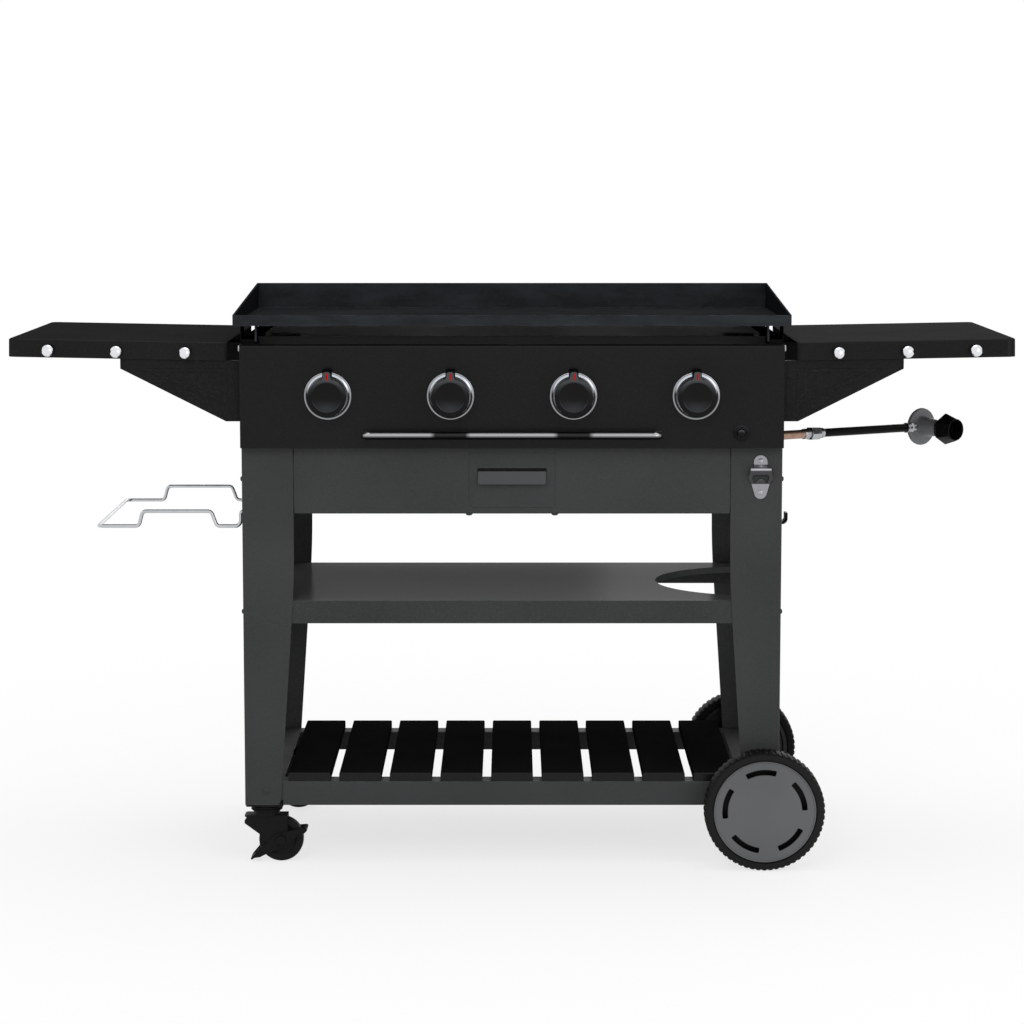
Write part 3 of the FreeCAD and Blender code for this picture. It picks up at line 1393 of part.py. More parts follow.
def regulator():
    """Flat round body with a vent cap behind and a tapered boss with the spigot in front."""
    half = REGULATOR_THICK / 2
    edge = REGULATOR_RADIUS
    start = HAND_NUT_START
    profile = [
        (0, -half - 4.0),
        (13.0, -half - 4.0),
        (14.0, -half - 3.0),
        (14.0, -half),
        (edge - 3.0, -half),
        (edge - 0.9, -half + 0.9, edge, -half + 3.0),
        (edge, half - 3.0),
        (edge - 0.9, half - 0.9, edge - 3.0, half),
        (22.0, half),
        (18.0, half + 8.0),
        (13.0, start - 0.3),
        (SPIGOT_RADIUS, start - 0.3),
        (SPIGOT_RADIUS, start + 4.3),
        (12.0, start + 4.3),
        (12.0, start + 7.0),
        (SPIGOT_RADIUS - 1.0, start + 9.0),
        (SPIGOT_RADIUS - 2.0, start + 24.0),
        (0, start + 24.0),
    ]
    axis = regulator_axis()
    body = turned(profile, at_regulator(0), (axis.x, axis.y, axis.z))
    joint = HOSE_END + 5.0
    ferrule = rod(FERRULE_RADIUS, along_pipe(HOSE_END), along_pipe(joint))
    run = pipe_way() * (REGULATOR_AT - edge + 4 - joint)
    return fused(body, ferrule, hex_prism(9.5, along_pipe(joint), (run.x, run.y, run.z)))


def hand_nut():
    """Hand wheel that clamps the spigot to the tank's valve: a six-sided grip and a round mouth."""
    axis = regulator_axis()
    along = (axis.x, axis.y, axis.z)
    start = at_regulator(HAND_NUT_START)
    length = HAND_NUT_LENGTH
    profile = [
        (0, 0),
        (HAND_NUT_RADIUS - 3.0, 0),
        (HAND_NUT_RADIUS, 6.0),
        (HAND_NUT_RADIUS, length - 0.8),
        (HAND_NUT_RADIUS - 0.8, length),
        (0, length),
    ]
    sleeve = turned(profile, start, along)
    ends = ((0.8, HAND_NUT_RADIUS - 1.0), (HAND_NUT_CREST, HAND_NUT_CORNER),
            (length - 2.0, HAND_NUT_RADIUS + 0.4))
    rings = [hexagon(radius, at_regulator(HAND_NUT_START + depth), along) for depth, radius in ends]
    body = fused(sleeve, Part.makeLoft(rings, True, True))
    floor = HAND_NUT_START + 4.0
    bore = rod(HAND_NUT_BORE, at_regulator(floor), at_regulator(HAND_NUT_START + length + 1))
    neck = rod(SPIGOT_RADIUS + RUNNING, at_regulator(HAND_NUT_START - 1), at_regulator(floor + 1))
    return body.cut(bore).cut(neck)


# Wire rack, opener and tank hook

def wire_rack():
    """Bag rack: one wire bent up and down, hooked through the two left legs."""
    side = [
        (6.0 - FRAME_HALF_X, RACK_HIGH),
        (-RACK_RISER, RACK_HIGH),
        (-RACK_RISER, RACK_LOW),
        (9.3 - RACK_HUMP[0], RACK_LOW),
        (-RACK_HUMP[0], RACK_HIGH),
        (-RACK_HUMP[1], RACK_HIGH),
        (-RACK_HUMP[1] - 6.7, RACK_LOW),
        (-RACK_REACH, RACK_LOW),
    ]
    front = [(x, -RACK_HALF_Y, z) for x, z in side]
    back = [(x, RACK_HALF_Y, z) for x, z in reversed(side)]
    bends = [5.0, 10.0, 8.0, 8.0, 8.0, 8.0]
    return bent_rod(front + back, bends + [12.0, 12.0] + bends[::-1], WIRE_RADIUS)


def bottle_opener():
    """Opener on the right leg: one sheet that leans out to a hood over its mouth."""
    back = -FRAME_HALF_Y
    half = OPENER_SHEET / 2
    bends = [
        (back - half, -40.0), (back - half, -9.0), (back - OPENER_LEAN, 14.5),
        (back - OPENER_LEAN + 2.0, 18.0), (back - half, 22.5), (back - half, 40.0),
    ]
    path = [(y, OPENER_Z + v) for y, v in bends]
    width = 22.0
    sheet = strip(path, 2.0, OPENER_SHEET, yz(OPENER_X - width)).extrude(V(2 * width, 0, 0))
    outline = [
        (-15.0, -9.0), (-9.5, -28.0), (0, -34.0, 9.5, -28.0), (15.0, -9.0), (20.5, 1.0),
        (17.0, 13.0), (17.0, 18.0), (11.2, 21.0), (11.2, 27.5), (0, 38.5, -11.2, 27.5), (-11.2, 21.0),
        (-17.0, 18.0), (-17.0, 13.0), (-20.5, 1.0),
    ]
    mouth = [
        (-11.5, -7.5), (-8.0, -7.5), (0.0, -1.5, 8.0, -7.5), (11.5, -7.5), (14.5, 0.0), (12.5, 7.0),
        (-12.5, 7.0), (-14.5, 0.0),
    ]
    reach = OPENER_LEAN + 10.0

    def on_leg(u, v):
        return V(OPENER_X + u, back - reach, OPENER_Z + v)

    body = sheet.common(face(outline, on_leg).extrude(V(0, reach, 0)))
    return body.cut(face(mouth, on_leg).extrude(V(0, reach, 0)))


def tank_hook():
    """Flat bar under the right end apron that a gas tank hangs on."""
    half = HOOK_SHEET / 2
    stem = FRAME_HALF_X - 3.1
    low = APRON_BOTTOM - HOOK_DROP
    path = [
        (FRAME_HALF_X - 22.0, APRON_BOTTOM - half),
        (stem, APRON_BOTTOM - half),
        (stem, low),
        (HOOK_REACH, low),
        (HOOK_REACH, low + HOOK_LIP),
    ]
    return strip(path, 7.0, HOOK_SHEET, xz(-HOOK_HALF)).extrude(V(0, 2 * HOOK_HALF, 0))


def parts():
    """Every node by its name."""
    front_left = caster_leg()
    front_right = wheel_leg()
    fork = caster_fork()
    roller = caster_wheel()
    pedal = caster_pedal()
    hub = wheel_hub()
    tyre = wheel_tyre()
    shelf = side_shelf()
    nodes = {
        "leg_front_left": front_left,
        "leg_rear_left": mirror_y(front_left),
        "leg_front_right": front_right,
        "leg_rear_right": mirror_y(front_right),
        "front_apron": front_apron(),
        "rear_apron": rear_apron(),
        "end_aprons": end_aprons(),
        "mid_shelf": mid_shelf(),
        "bottom_frame": bottom_frame(),
        "bottom_slats": bottom_slats(),
        "control_panel": control_panel(),
        "firebox_side_left": firebox_side(),
        "firebox_side_right": firebox_side_right(),
        "firebox_back": firebox_back(),
        "front_shield": front_shield(),
        "griddle_plate": griddle_plate(),
        "burners": burners(),
        "igniter_electrodes": igniter_electrodes(),
        "gas_manifold": gas_manifold(),
        "gas_valves": gas_valves(),
        "drip_chute": drip_chute(),
        "knob_bezels": knob_bezels(),
        "igniter_housing": igniter_housing(),
        "igniter_button": igniter_button(),
        "towel_bar": towel_bar(),
        "bottle_opener": bottle_opener(),
        "wire_rack": wire_rack(),
        "tank_hook": tank_hook(),
        "side_shelf_right": shelf,
        "side_shelf_left": mirror_x(shelf),
        "shelf_brackets": shelf_brackets(),
        "shelf_hooks": shelf_hooks(),
        "drawer_front": drawer_front(),
        "drawer_tray": drawer_tray(),
        "drawer_handle": drawer_handle(),
        "drawer_runners": drawer_runners(),
        "wheel_axle": wheel_axle(),
        "wheel_front_hub": hub,
        "wheel_front_tyre": tyre,
        "wheel_rear_hub": mirror_y(hub),
        "wheel_rear_tyre": mirror_y(tyre),
        "caster_plates": caster_plates(),
        "caster_front_fork": fork,
        "caster_rear_fork": mirror_y(fork),
        "caster_front_wheel": roller,
        "caster_rear_wheel": mirror_y(roller),
        "caster_front_pedal": pedal,
        "caster_rear_pedal": mirror_y(pedal),
        "gas_inlet_pipe": gas_inlet_pipe(),
        "gas_hose": gas_hose(),
        "regulator": regulator(),
        "hand_nut": hand_nut(),
    }
    for index, x in enumerate(BURNER_X, start=1):
        nodes[f"knob_{index}"] = knob(x)
        nodes[f"stem_seat_{index}"] = stem_seat(x)
    return nodes


os.makedirs("parts", exist_ok=True)
for name, shape in parts().items():
    shape.exportStep(f"parts/{name}.step")
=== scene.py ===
import math

import bmesh
import bpy
from mathutils import Matrix, Vector


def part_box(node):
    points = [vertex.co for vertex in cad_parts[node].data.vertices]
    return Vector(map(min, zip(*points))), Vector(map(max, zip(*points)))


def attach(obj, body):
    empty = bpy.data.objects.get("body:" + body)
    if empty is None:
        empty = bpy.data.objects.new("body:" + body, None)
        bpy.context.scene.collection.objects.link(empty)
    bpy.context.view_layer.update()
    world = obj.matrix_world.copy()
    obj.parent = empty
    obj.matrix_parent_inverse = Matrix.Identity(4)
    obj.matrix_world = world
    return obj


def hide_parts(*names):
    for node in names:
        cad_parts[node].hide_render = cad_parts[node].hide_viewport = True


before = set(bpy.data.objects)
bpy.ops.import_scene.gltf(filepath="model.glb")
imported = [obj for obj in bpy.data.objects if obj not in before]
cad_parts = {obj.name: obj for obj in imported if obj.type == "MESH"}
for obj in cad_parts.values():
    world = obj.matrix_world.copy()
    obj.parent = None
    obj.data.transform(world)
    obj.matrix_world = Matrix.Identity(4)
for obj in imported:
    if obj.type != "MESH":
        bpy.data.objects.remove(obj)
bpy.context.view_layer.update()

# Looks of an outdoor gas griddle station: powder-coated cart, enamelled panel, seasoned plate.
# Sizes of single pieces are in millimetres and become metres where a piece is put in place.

MM = 0.001
FRONT = Matrix.Rotation(math.radians(90), 4, "X")  # stands a level outline up to face the front
scene = bpy.context.scene


def new_object(name, data):
    """Object that holds this data, linked to the scene."""
    made = bpy.data.objects.new(name, data)
    scene.collection.objects.link(made)
    return made


# Places that are read from the frame

def low(node):
    """Lowest corner of a node, in millimetres."""
    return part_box(node)[0] / MM


def high(node):
    """Highest corner of a node, in millimetres."""
    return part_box(node)[1] / MM


def middle(node):
    """Middle of a node's box, in millimetres."""
    return (low(node) + high(node)) / 2


# Gas line, with the reference points of its route
PIPE_START = Vector((453.2, -190.0, 717.4))
PIPE_WAY = Vector((0.788, 0.616, -0.014)).normalized()
PIPE_END = 57.0
NUT_FLATS = 20.0
NUT_END = 87.0
HOSE_END = 285.0
HOSE_RADIUS = 7.1
PIPE_RADIUS = 7.5
REGULATOR_AT = 328.0
HAND_NUT_START = 40.7
HAND_NUT_LENGTH = 37.0
REGULATOR_AXIS = Vector((PIPE_WAY.y, -PIPE_WAY.x, 0.0)).normalized()


def along_pipe(distance):
    """Point on the gas line's centre, in millimetres."""
    return PIPE_START + PIPE_WAY * distance


# Camera at the photograph's place, in metres and degrees

FOCAL_LENGTH = 105.47
CAMERA_PLACE = (0.0, -5.159, 1.194)
CAMERA_TILT = 6.946


def add_camera():
    data = bpy.data.cameras.new("camera")
    data.lens = FOCAL_LENGTH
    data.sensor_width = 36.0
    data.clip_end = 200.0
    camera = new_object("camera", data)
    camera.location = CAMERA_PLACE
    camera.rotation_euler = (math.radians(90.0 - CAMERA_TILT), 0.0, 0.0)
    scene.camera = camera


# Helpers for shader nodes

def node(tree, kind, inputs=(), **settings):
    """Adds a node, sets it up and fills its inputs with values or links."""
    made = tree.nodes.new(kind)
    for key, value in settings.items():
        setattr(made, key, value)
    for key, value in dict(inputs).items():
        if isinstance(value, bpy.types.NodeSocket):
            tree.links.new(value, made.inputs[key])
        else:
            made.inputs[key].default_value = value
    return made


def math_node(tree, operation, first, second=0.0):
    made = node(tree, "ShaderNodeMath", {0: first, 1: second}, operation=operation)
    return made.outputs[0]


def mixed_colour(tree, share, first, second):
    made = node(tree, "ShaderNodeMix", {0: share, 6: first, 7: second}, data_type="RGBA")
    return made.outputs[2]


def spread(tree, value, low_in, high_in, low_out=0.0, high_out=1.0):
    """Maps a range of values to another one, held at both ends."""
    made = node(tree, "ShaderNodeMapRange", {0: value, 1: low_in, 2: high_in, 3: low_out, 4: high_out})
    return made.outputs[0]


def turning(tree, colour, value, start, end, other, most=1.0):
    """Colour that turns into another one, at most by this share, as a value goes from start to end."""
    return mixed_colour(tree, spread(tree, value, start, end, 0.0, most), colour, other)


def laid_over(tree, colour, mask, strength, other):
    """Colour with another one over it where a mask says, at this strength."""
    return mixed_colour(tree, math_node(tree, "MULTIPLY", mask, strength), colour, other)


def noise(tree, place, scale, detail=3.0, roughness=0.5):
    made = node(
        tree, "ShaderNodeTexNoise",
        {"Vector": place, "Scale": scale, "Detail": detail, "Roughness": roughness})
    return made.outputs["Fac"]


def scale_of(tree, size):
    """Noise scale that gives features of this size, in millimetres."""
    return math_node(tree, "DIVIDE", 1.0 / MM, size)


def object_place(tree, stretch=(1.0, 1.0, 1.0)):
    """Object coordinates in metres, stretched along the axes."""
    spot = node(tree, "ShaderNodeTexCoord").outputs["Object"]
    if stretch == (1.0, 1.0, 1.0):
        return spot
    return node(tree, "ShaderNodeMapping", {"Vector": spot, "Scale": stretch}).outputs[0]


def ramp(tree, value, *stops):
    """Colours along a value, from (value, colour) stops."""
    made = tree.nodes.new("ShaderNodeValToRGB")
    tree.links.new(value, made.inputs[0])
    points = made.color_ramp.elements
    while len(points) < len(stops):
        points.new(0.5)
    for point, (at, colour) in zip(points, stops):
        point.position = at
        point.color = colour
    return made.outputs[0]


def facing(tree, axis):
    """How far a face points along an axis, from -1 to 1."""
    normal = node(tree, "ShaderNodeNewGeometry").outputs["Normal"]
    return node(tree, "ShaderNodeSeparateXYZ", {0: normal}).outputs[axis]


def place_along(tree, axis):
    """Object coordinate along one axis, in metres."""
    return node(tree, "ShaderNodeSeparateXYZ", {0: object_place(tree)}).outputs[axis]


def grey(value):
    return (value, value, value, 1.0)


def written(red, green=None, blue=None):
    """Colour that shows as these 0 to 255 values, or the grey that shows as a single one."""
    def straight(part):
        part /= 255.0
        return part / 12.92 if part <= 0.04045 else ((part + 0.055) / 1.055) ** 2.4
    if green is None:
        return grey(straight(red))
    return (straight(red), straight(green), straight(blue), 1.0)


def emptied(owner):
    """Node tree of a material or a world, with nothing in it."""
    owner.use_nodes = True
    owner.node_tree.nodes.clear()
    return owner.node_tree


def new_group(name, inputs, outputs):
    """Empty node group with named inputs, their values, and named outputs."""
    tree = bpy.data.node_groups.new(name, "ShaderNodeTree")
    for label, value in inputs.items():
        made = tree.interface.new_socket(name=label, in_out="INPUT", socket_type="NodeSocketFloat")
        made.default_value = value
    for label, kind in outputs.items():
        tree.interface.new_socket(name=label, in_out="OUTPUT", socket_type=kind)
    start = tree.nodes.new("NodeGroupInput")
    end = tree.nodes.new("NodeGroupOutput")
    return tree, start.outputs, end.inputs


def placed(tree, group, **values):
    """Puts a group into a material's tree with its own values."""
    made = tree.nodes.new("ShaderNodeGroup")
    made.node_tree = group
    for label, value in values.items():
        made.inputs[label.replace("_", " ").capitalize()].default_value = value
    return made.outputs


# Effects that several finishes share

def powder_group():
    """Powder coat: fine bright flecks, an orange-peel skin and slow drifts in tone."""
    tree, inputs, outputs = new_group(
        "powder_coat",
        {"Fleck size": 0.6, "Peel size": 1.6},
        {"Fleck": "NodeSocketFloat", "Peel": "NodeSocketFloat", "Drift": "NodeSocketFloat"})
    place = object_place(tree)
    fleck = noise(tree, place, scale_of(tree, inputs["Fleck size"]), 1.0)
    peel = noise(tree, place, scale_of(tree, inputs["Peel size"]), 2.0)
    tree.links.new(spread(tree, fleck, 0.60, 0.72), outputs["Fleck"])
    tree.links.new(peel, outputs["Peel"])
    tree.links.new(noise(tree, place, 5.0, 2.0), outputs["Drift"])
    return tree


def edge_group():
    """Edges: a rounded normal, and a mask of worn corners that also stands for painted highlights there."""
    tree, inputs, outputs = new_group(
        "worn_and_lit_edges",
        {"Radius": 0.8 * MM},
        {"Worn and lit": "NodeSocketFloat", "Normal": "NodeSocketVector"})
    soft = node(tree, "ShaderNodeBevel", {"Radius": inputs["Radius"]}, samples=4).outputs[0]
    hard = node(tree, "ShaderNodeNewGeometry").outputs["Normal"]
    same = node(tree, "ShaderNodeVectorMath", {0: soft, 1: hard}, operation="DOT_PRODUCT").outputs["Value"]
    turned_away = spread(tree, same, 0.98, 0.80)
    patches = spread(tree, noise(tree, object_place(tree), 60.0, 4.0), 0.42, 0.62)
    tree.links.new(math_node(tree, "MULTIPLY", turned_away, patches), outputs["Worn and lit"])
    tree.links.new(soft, outputs["Normal"])
    return tree


def dust_group():
    """Settled dust on what faces up, and smears of handling everywhere."""
    tree, inputs, outputs = new_group(
        "dust_and_smears", {"Size": 90.0}, {"Dust": "NodeSocketFloat", "Smears": "NodeSocketFloat"})
    facing_up = spread(tree, facing(tree, "Z"), 0.3, 0.95)
    cloud = noise(tree, object_place(tree), scale_of(tree, inputs["Size"]), 6.0, 0.62)
    dust = math_node(tree, "MULTIPLY", facing_up, spread(tree, cloud, 0.35, 0.7))
    smears = noise(tree, object_place(tree, (1.0, 1.0, 0.45)), 14.0, 5.0, 0.6)
    tree.links.new(dust, outputs["Dust"])
    tree.links.new(spread(tree, smears, 0.35, 0.68), outputs["Smears"])
    return tree


def brushed_group():
    """Fine parallel lines along X, as brushing or drawing leaves them."""
    tree, inputs, outputs = new_group(
        "drawn_lines", {"Width": 0.4}, {"Lines": "NodeSocketFloat", "Spots": "NodeSocketFloat"})
    long_place = object_place(tree, (0.012, 1.0, 1.0))
    lines = noise(tree, long_place, scale_of(tree, inputs["Width"]), 2.0)
    spots = noise(tree, object_place(tree), 45.0, 5.0, 0.6)
    tree.links.new(lines, outputs["Lines"])
    tree.links.new(spread(tree, spots, 0.4, 0.7), outputs["Spots"])
    return tree


POWDER = powder_group()
EDGES = edge_group()
DUST = dust_group()
DRAWN = brushed_group()


# Finishes, by their plain names

FINISHES = {}


def blank_finish(name, **sockets):
    """Adds a material with one Principled shader, whose plain values are set on its own sockets."""
    FINISHES[name] = bpy.data.materials.new(name)
    tree = emptied(FINISHES[name])
    shader = tree.nodes.new("ShaderNodeBsdfPrincipled")
    for label, value in sockets.items():
        shader.inputs[label.replace("_", " ")].default_value = value
    end = tree.nodes.new("ShaderNodeOutputMaterial")
    tree.links.new(shader.outputs[0], end.inputs[0])
    return tree, shader.inputs


def dressed(tree, sockets, colour, roughness, height, relief, normal=None):
    """Feeds the shader a colour, a roughness and a height that gives this many millimetres of relief."""
    tree.links.new(colour, sockets["Base Color"])
    tree.links.new(roughness, sockets["Roughness"])
    inputs = {"Height": height, "Distance": relief * MM, "Strength": 1.0}
    if normal is not None:
        inputs["Normal"] = normal
    tree.links.new(node(tree, "ShaderNodeBump", inputs).outputs[0], sockets["Normal"])


def painted(name, dark, light, worn_and_lit, roughness, specular, gloss=(0.0, 0.0), fleck=0.25, dust=0.12,
            level=None, hidden=None):
    """Powder coat or enamel on sheet steel, with a gloss for what is seen square on and one for slants.

    Level paints light and shade on faces that point up, and hidden does the same on what lies inside.
    """
    tree, sockets = blank_finish(
        name, Specular_IOR_Level=specular, Coat_Roughness=0.2, Coat_IOR=1.5)
    powder = placed(tree, POWDER, fleck_size=0.9, peel_size=2.2)
    edges = placed(tree, EDGES, radius=1.0 * MM)
    dirt = placed(tree, DUST, size=120.0)
    colour = turning(tree, dark, powder["Drift"], 0.3, 0.7, light)
    if level is not None:
        colour = turning(tree, colour, facing(tree, "Z"), 0.6, 0.95, level)
    if hidden is not None:
        colour = hidden(tree, colour)
    colour = laid_over(tree, colour, powder["Fleck"], fleck, written(150, 154, 158))
    # Edges: wear, and a painted highlight where they catch the light.
    colour = laid_over(tree, colour, edges["Worn and lit"], 0.45, worn_and_lit)
    colour = laid_over(tree, colour, dirt["Dust"], dust, written(120, 118, 112))
    if any(gloss):
        slant = node(tree, "ShaderNodeLayerWeight", {"Blend": 0.5}).outputs["Facing"]
        tree.links.new(spread(tree, slant, 0.3, 0.72, *gloss), sockets["Coat Weight"])
    smeared = spread(tree, dirt["Smears"], 0.0, 1.0, roughness - 0.04, roughness + 0.07)
    dressed(tree, sockets, colour, smeared, powder["Peel"], 0.035, edges["Normal"])


def plated(name, colour, second, roughness, lines=0.02, bump=0.01, shade=None):
    """Bare or plated metal with drawn lines and faint spots, and a function that paints light and shade on
    it.
    """
    tree, sockets = blank_finish(name, Metallic=1.0)
    drawn = placed(tree, DRAWN, width=0.5)
    edges = placed(tree, EDGES, radius=0.5 * MM)
    colour = laid_over(tree, colour, drawn["Spots"], 0.5, second)
    if shade is not None:
        colour = shade(tree, colour)
    streaked = spread(tree, drawn["Lines"], 0.3, 0.7, roughness - lines, roughness + lines)
    dressed(tree, sockets, colour, streaked, drawn["Lines"], bump, edges["Normal"])


def darker_inside(way, inner, depth=None):
    """Painted shade on a wheel's inner side, and on whatever lies deeper than this behind its face."""
    def shaded(tree, colour):
        outwards = math_node(tree, "MULTIPLY", facing(tree, "Y"), way)
        colour = turning(tree, colour, outwards, -0.3, -0.7, inner)
        if depth is None:
            return colour
        out = math_node(tree, "MULTIPLY", place_along(tree, "Y"), way)
        return turning(tree, colour, out, depth * MM, (depth - 1.5) * MM, inner)
    return shaded


def light_from_above(faint, full):
    """Painted highlight where faces tilt upwards, as soft light from above falls on satin plastic."""
    def shaded(tree, colour):
        up = facing(tree, "Z")
        rise = math_node(tree, "POWER", spread(tree, up, 0.02, 0.28), 1.6)
        share = math_node(tree, "MULTIPLY", rise, spread(tree, up, 0.75, 0.4))
        outwards = spread(tree, facing(tree, "Y"), -0.6, -0.85)
        share = math_node(tree, "MULTIPLY", share, outwards)
        # Painted light: a faint tone on faces turned to the front, and a highlight where they tilt up.
        lit = mixed_colour(tree, share, mixed_colour(tree, outwards, colour, faint), full)
        # Painted shade: near black on faces that point up, such as the lobe's top.
        return turning(tree, lit, up, 0.55, 0.85, grey(0.0006))
    return shaded


def moulded(name, dark, light, roughness, specular, grain=0.5, relief=0.03, shade=None, dust=0.08):
    """Moulded plastic or rubber with a fine leathery grain, and a function that paints light and shade on
    it.
    """
    tree, sockets = blank_finish(name, Specular_IOR_Level=specular)
    powder = placed(tree, POWDER, fleck_size=0.5, peel_size=grain)
    edges = placed(tree, EDGES, radius=0.6 * MM)
    dirt = placed(tree, DUST, size=40.0)
    colour = turning(tree, dark, powder["Drift"], 0.3, 0.7, light)
    # Edges: wear, and a painted highlight where they catch the light.
    colour = laid_over(tree, colour, edges["Worn and lit"], 0.3, written(96, 96, 98))
    colour = laid_over(tree, colour, dirt["Dust"], dust, written(128, 124, 116))
    if shade is not None:
        colour = shade(tree, colour)
    smeared = spread(tree, dirt["Smears"], 0.0, 1.0, roughness - 0.05, roughness + 0.08)
    dressed(tree, sockets, colour, smeared, powder["Peel"], relief, edges["Normal"])


def seasoned_finish():
    """Cooking plate: blued and oiled steel, mottled by heat, with a rough skin."""
    tree, sockets = blank_finish("seasoned_plate", Specular_IOR_Level=0.0)
    place = object_place(tree)
    cloud = noise(tree, place, 9.0, 7.0, 0.62)
    spots = noise(tree, place, 70.0, 5.0, 0.65)
    grit = noise(tree, place, 620.0, 2.0)
    streaks = noise(tree, object_place(tree, (0.35, 1.0, 1.0)), 30.0, 6.0, 0.6)
    edges = placed(tree, EDGES, radius=1.2 * MM)
    level = spread(tree, facing(tree, "Z"), 0.5, 0.85)
    sideways = math_node(tree, "ABSOLUTE", facing(tree, "X"))
    colour = turning(tree, written(29, 31, 33), cloud, 0.34, 0.66, written(37, 39, 41))
    colour = turning(tree, colour, spots, 0.55, 0.75, written(46, 49, 52), 0.35)
    wall = turning(tree, written(36, 38, 40), streaks, 0.38, 0.64, written(47, 50, 53))
    # Painted shade: the side walls, which face sideways, are darker.
    wall = turning(tree, wall, sideways, 0.5, 0.85, written(20, 21, 23))
    colour = mixed_colour(tree, level, wall, colour)
    colour = turning(tree, colour, grit, 0.6, 0.72, written(76, 79, 83), 0.25)
    # Edges: wear, and a painted highlight along the plate's rims.
    colour = mixed_colour(tree, edges["Worn and lit"], colour, written(88, 93, 99))
    rough = spread(tree, cloud, 0.3, 0.7, 0.5, 0.68)
    coarse = math_node(tree, "MULTIPLY", spots, 0.7)
    skin = math_node(tree, "ADD", coarse, math_node(tree, "MULTIPLY", grit, 0.3))
    dressed(tree, sockets, colour, rough, skin, 0.16, edges["Normal"])


def heat_finish():
    """Burner tubes: bright steel that heat has browned in patches."""
    tree, sockets = blank_finish("burner_tube", Metallic=1.0)
    place = object_place(tree)
    tint = spread(tree, noise(tree, place, 26.0, 5.0, 0.6), 0.35, 0.65)
    colour = mixed_colour(tree, tint, written(150, 148, 144), written(112, 98, 84))
    rough = spread(tree, tint, 0.0, 1.0, 0.3, 0.5)
    dressed(tree, sockets, colour, rough, noise(tree, place, 300.0, 3.0), 0.04)


def copper_finish():
    """Copper pipe with handling marks and the first brown of age."""
    tree, sockets = blank_finish("copper_pipe", Metallic=1.0)
    place = object_place(tree)
    age = spread(tree, noise(tree, place, 55.0, 5.0, 0.6), 0.38, 0.68)
    colour = mixed_colour(tree, age, written(170, 140, 124), written(138, 110, 96))
    rough = spread(tree, age, 0.0, 1.0, 0.4, 0.5)
    dressed(tree, sockets, colour, rough, noise(tree, place, 900.0, 2.0), 0.008)


def hose_finish():
    """Smooth extruded rubber with a soft haze, and a painted highlight on top."""
    tree, sockets = blank_finish("gas_hose_rubber", Specular_IOR_Level=0.06)
    place = object_place(tree)
    haze = spread(tree, noise(tree, place, 40.0, 5.0, 0.6), 0.4, 0.7)
    tone = mixed_colour(tree, haze, written(7), written(12))
    colour = turning(tree, tone, facing(tree, "Z"), 0.3, 0.8, written(24, 24, 26))
    rough = spread(tree, haze, 0.0, 1.0, 0.34, 0.5)
    dressed(tree, sockets, colour, rough, noise(tree, place, 700.0, 2.0), 0.02)


def tread_shade(way):
    """Tyre: dark on its inner side and on top, where the photograph has no light on the tread."""
    inner = darker_inside(way, written(7))

    def shaded(tree, colour):
        return turning(tree, inner(tree, colour), facing(tree, "Z"), 0.35, 0.8, written(8))
    return shaded


def shelf_ends(tree, colour):
    """Side shelf: painted shade, black at the end that shows under the griddle."""
    across = math_node(tree, "ABSOLUTE", place_along(tree, "X"))
    return turning(tree, colour, across, 474.0 * MM, 469.0 * MM, written(3))


def bar_shade(tree, colour):
    """Round bar: painted highlight on its upper front, painted shade below, dark under the two inner knobs.

    Its tones stand for the whole metal, so the plated colour isn't used.
    """
    height = math_node(tree, "MULTIPLY_ADD", facing(tree, "Z"), 0.5)
    height.node.inputs[2].default_value = 0.5
    lit = ramp(
        tree, height, (0.18, grey(0.001)), (0.30, written(25)), (0.42, written(102, 102, 104)),
        (0.55, written(150, 150, 152)), (0.68, written(195, 195, 197)), (0.80, written(119, 119, 121)),
        (0.93, written(6)))
    across = math_node(tree, "ABSOLUTE", place_along(tree, "X"))
    # Painted reflections of the two inner knobs: dark on the bar right under them.
    from_knob = math_node(tree, "SUBTRACT", across, BURNER_X[2] * MM)
    from_knob = math_node(tree, "ABSOLUTE", from_knob)
    lit = turning(tree, lit, from_knob, 33.5 * MM, 25.0 * MM, written(10), 0.93)
    # Painted highlights where the bar turns in at its ends.
    at_ends = spread(tree, across, 232.0 * MM, 233.5 * MM)
    ends = math_node(tree, "MULTIPLY", at_ends, spread(tree, height, 0.7, 0.85))
    return mixed_colour(tree, ends, lit, written(185, 185, 187))


def ring_shade(tree, colour):
    """Bezel: painted reflection, grey on the flat rim, bluish white where the slope tilts up, dark
    elsewhere.
    """
    slope = turning(tree, colour, facing(tree, "Z"), 0.25, 0.06, written(34, 34, 35))
    return turning(tree, slope, facing(tree, "Y"), -0.92, -0.97, written(146, 147, 149))


def opener_shade(tree, colour):
    """Opener: its face leans out and turns away from the light, and its hood catches it."""
    up = facing(tree, "Z")
    colour = turning(tree, colour, up, -0.12, -0.3, written(74, 74, 76))
    return turning(tree, colour, up, 0.1, 0.5, written(196, 196, 200))


def inside_walls(tree, colour):
    """Wall of the firebox: painted shade, black where it faces inwards."""
    outwards = math_node(tree, "MULTIPLY", place_along(tree, "X"), facing(tree, "X"))
    return turning(tree, colour, outwards, -0.1, -0.3, written(4))


def lit_baffle(tree, colour):
    """Painted light on the inner face of the rear wall and its baffle, which shows under the plate."""
    return turning(tree, colour, facing(tree, "Y"), -0.3, -0.7, written(150))


def recessed_pull(tree, colour):
    """Pull: painted shade, dark where it lies behind the drawer's front."""
    return turning(tree, colour, place_along(tree, "Y"), -234.0 * MM, -233.4 * MM, written(24))


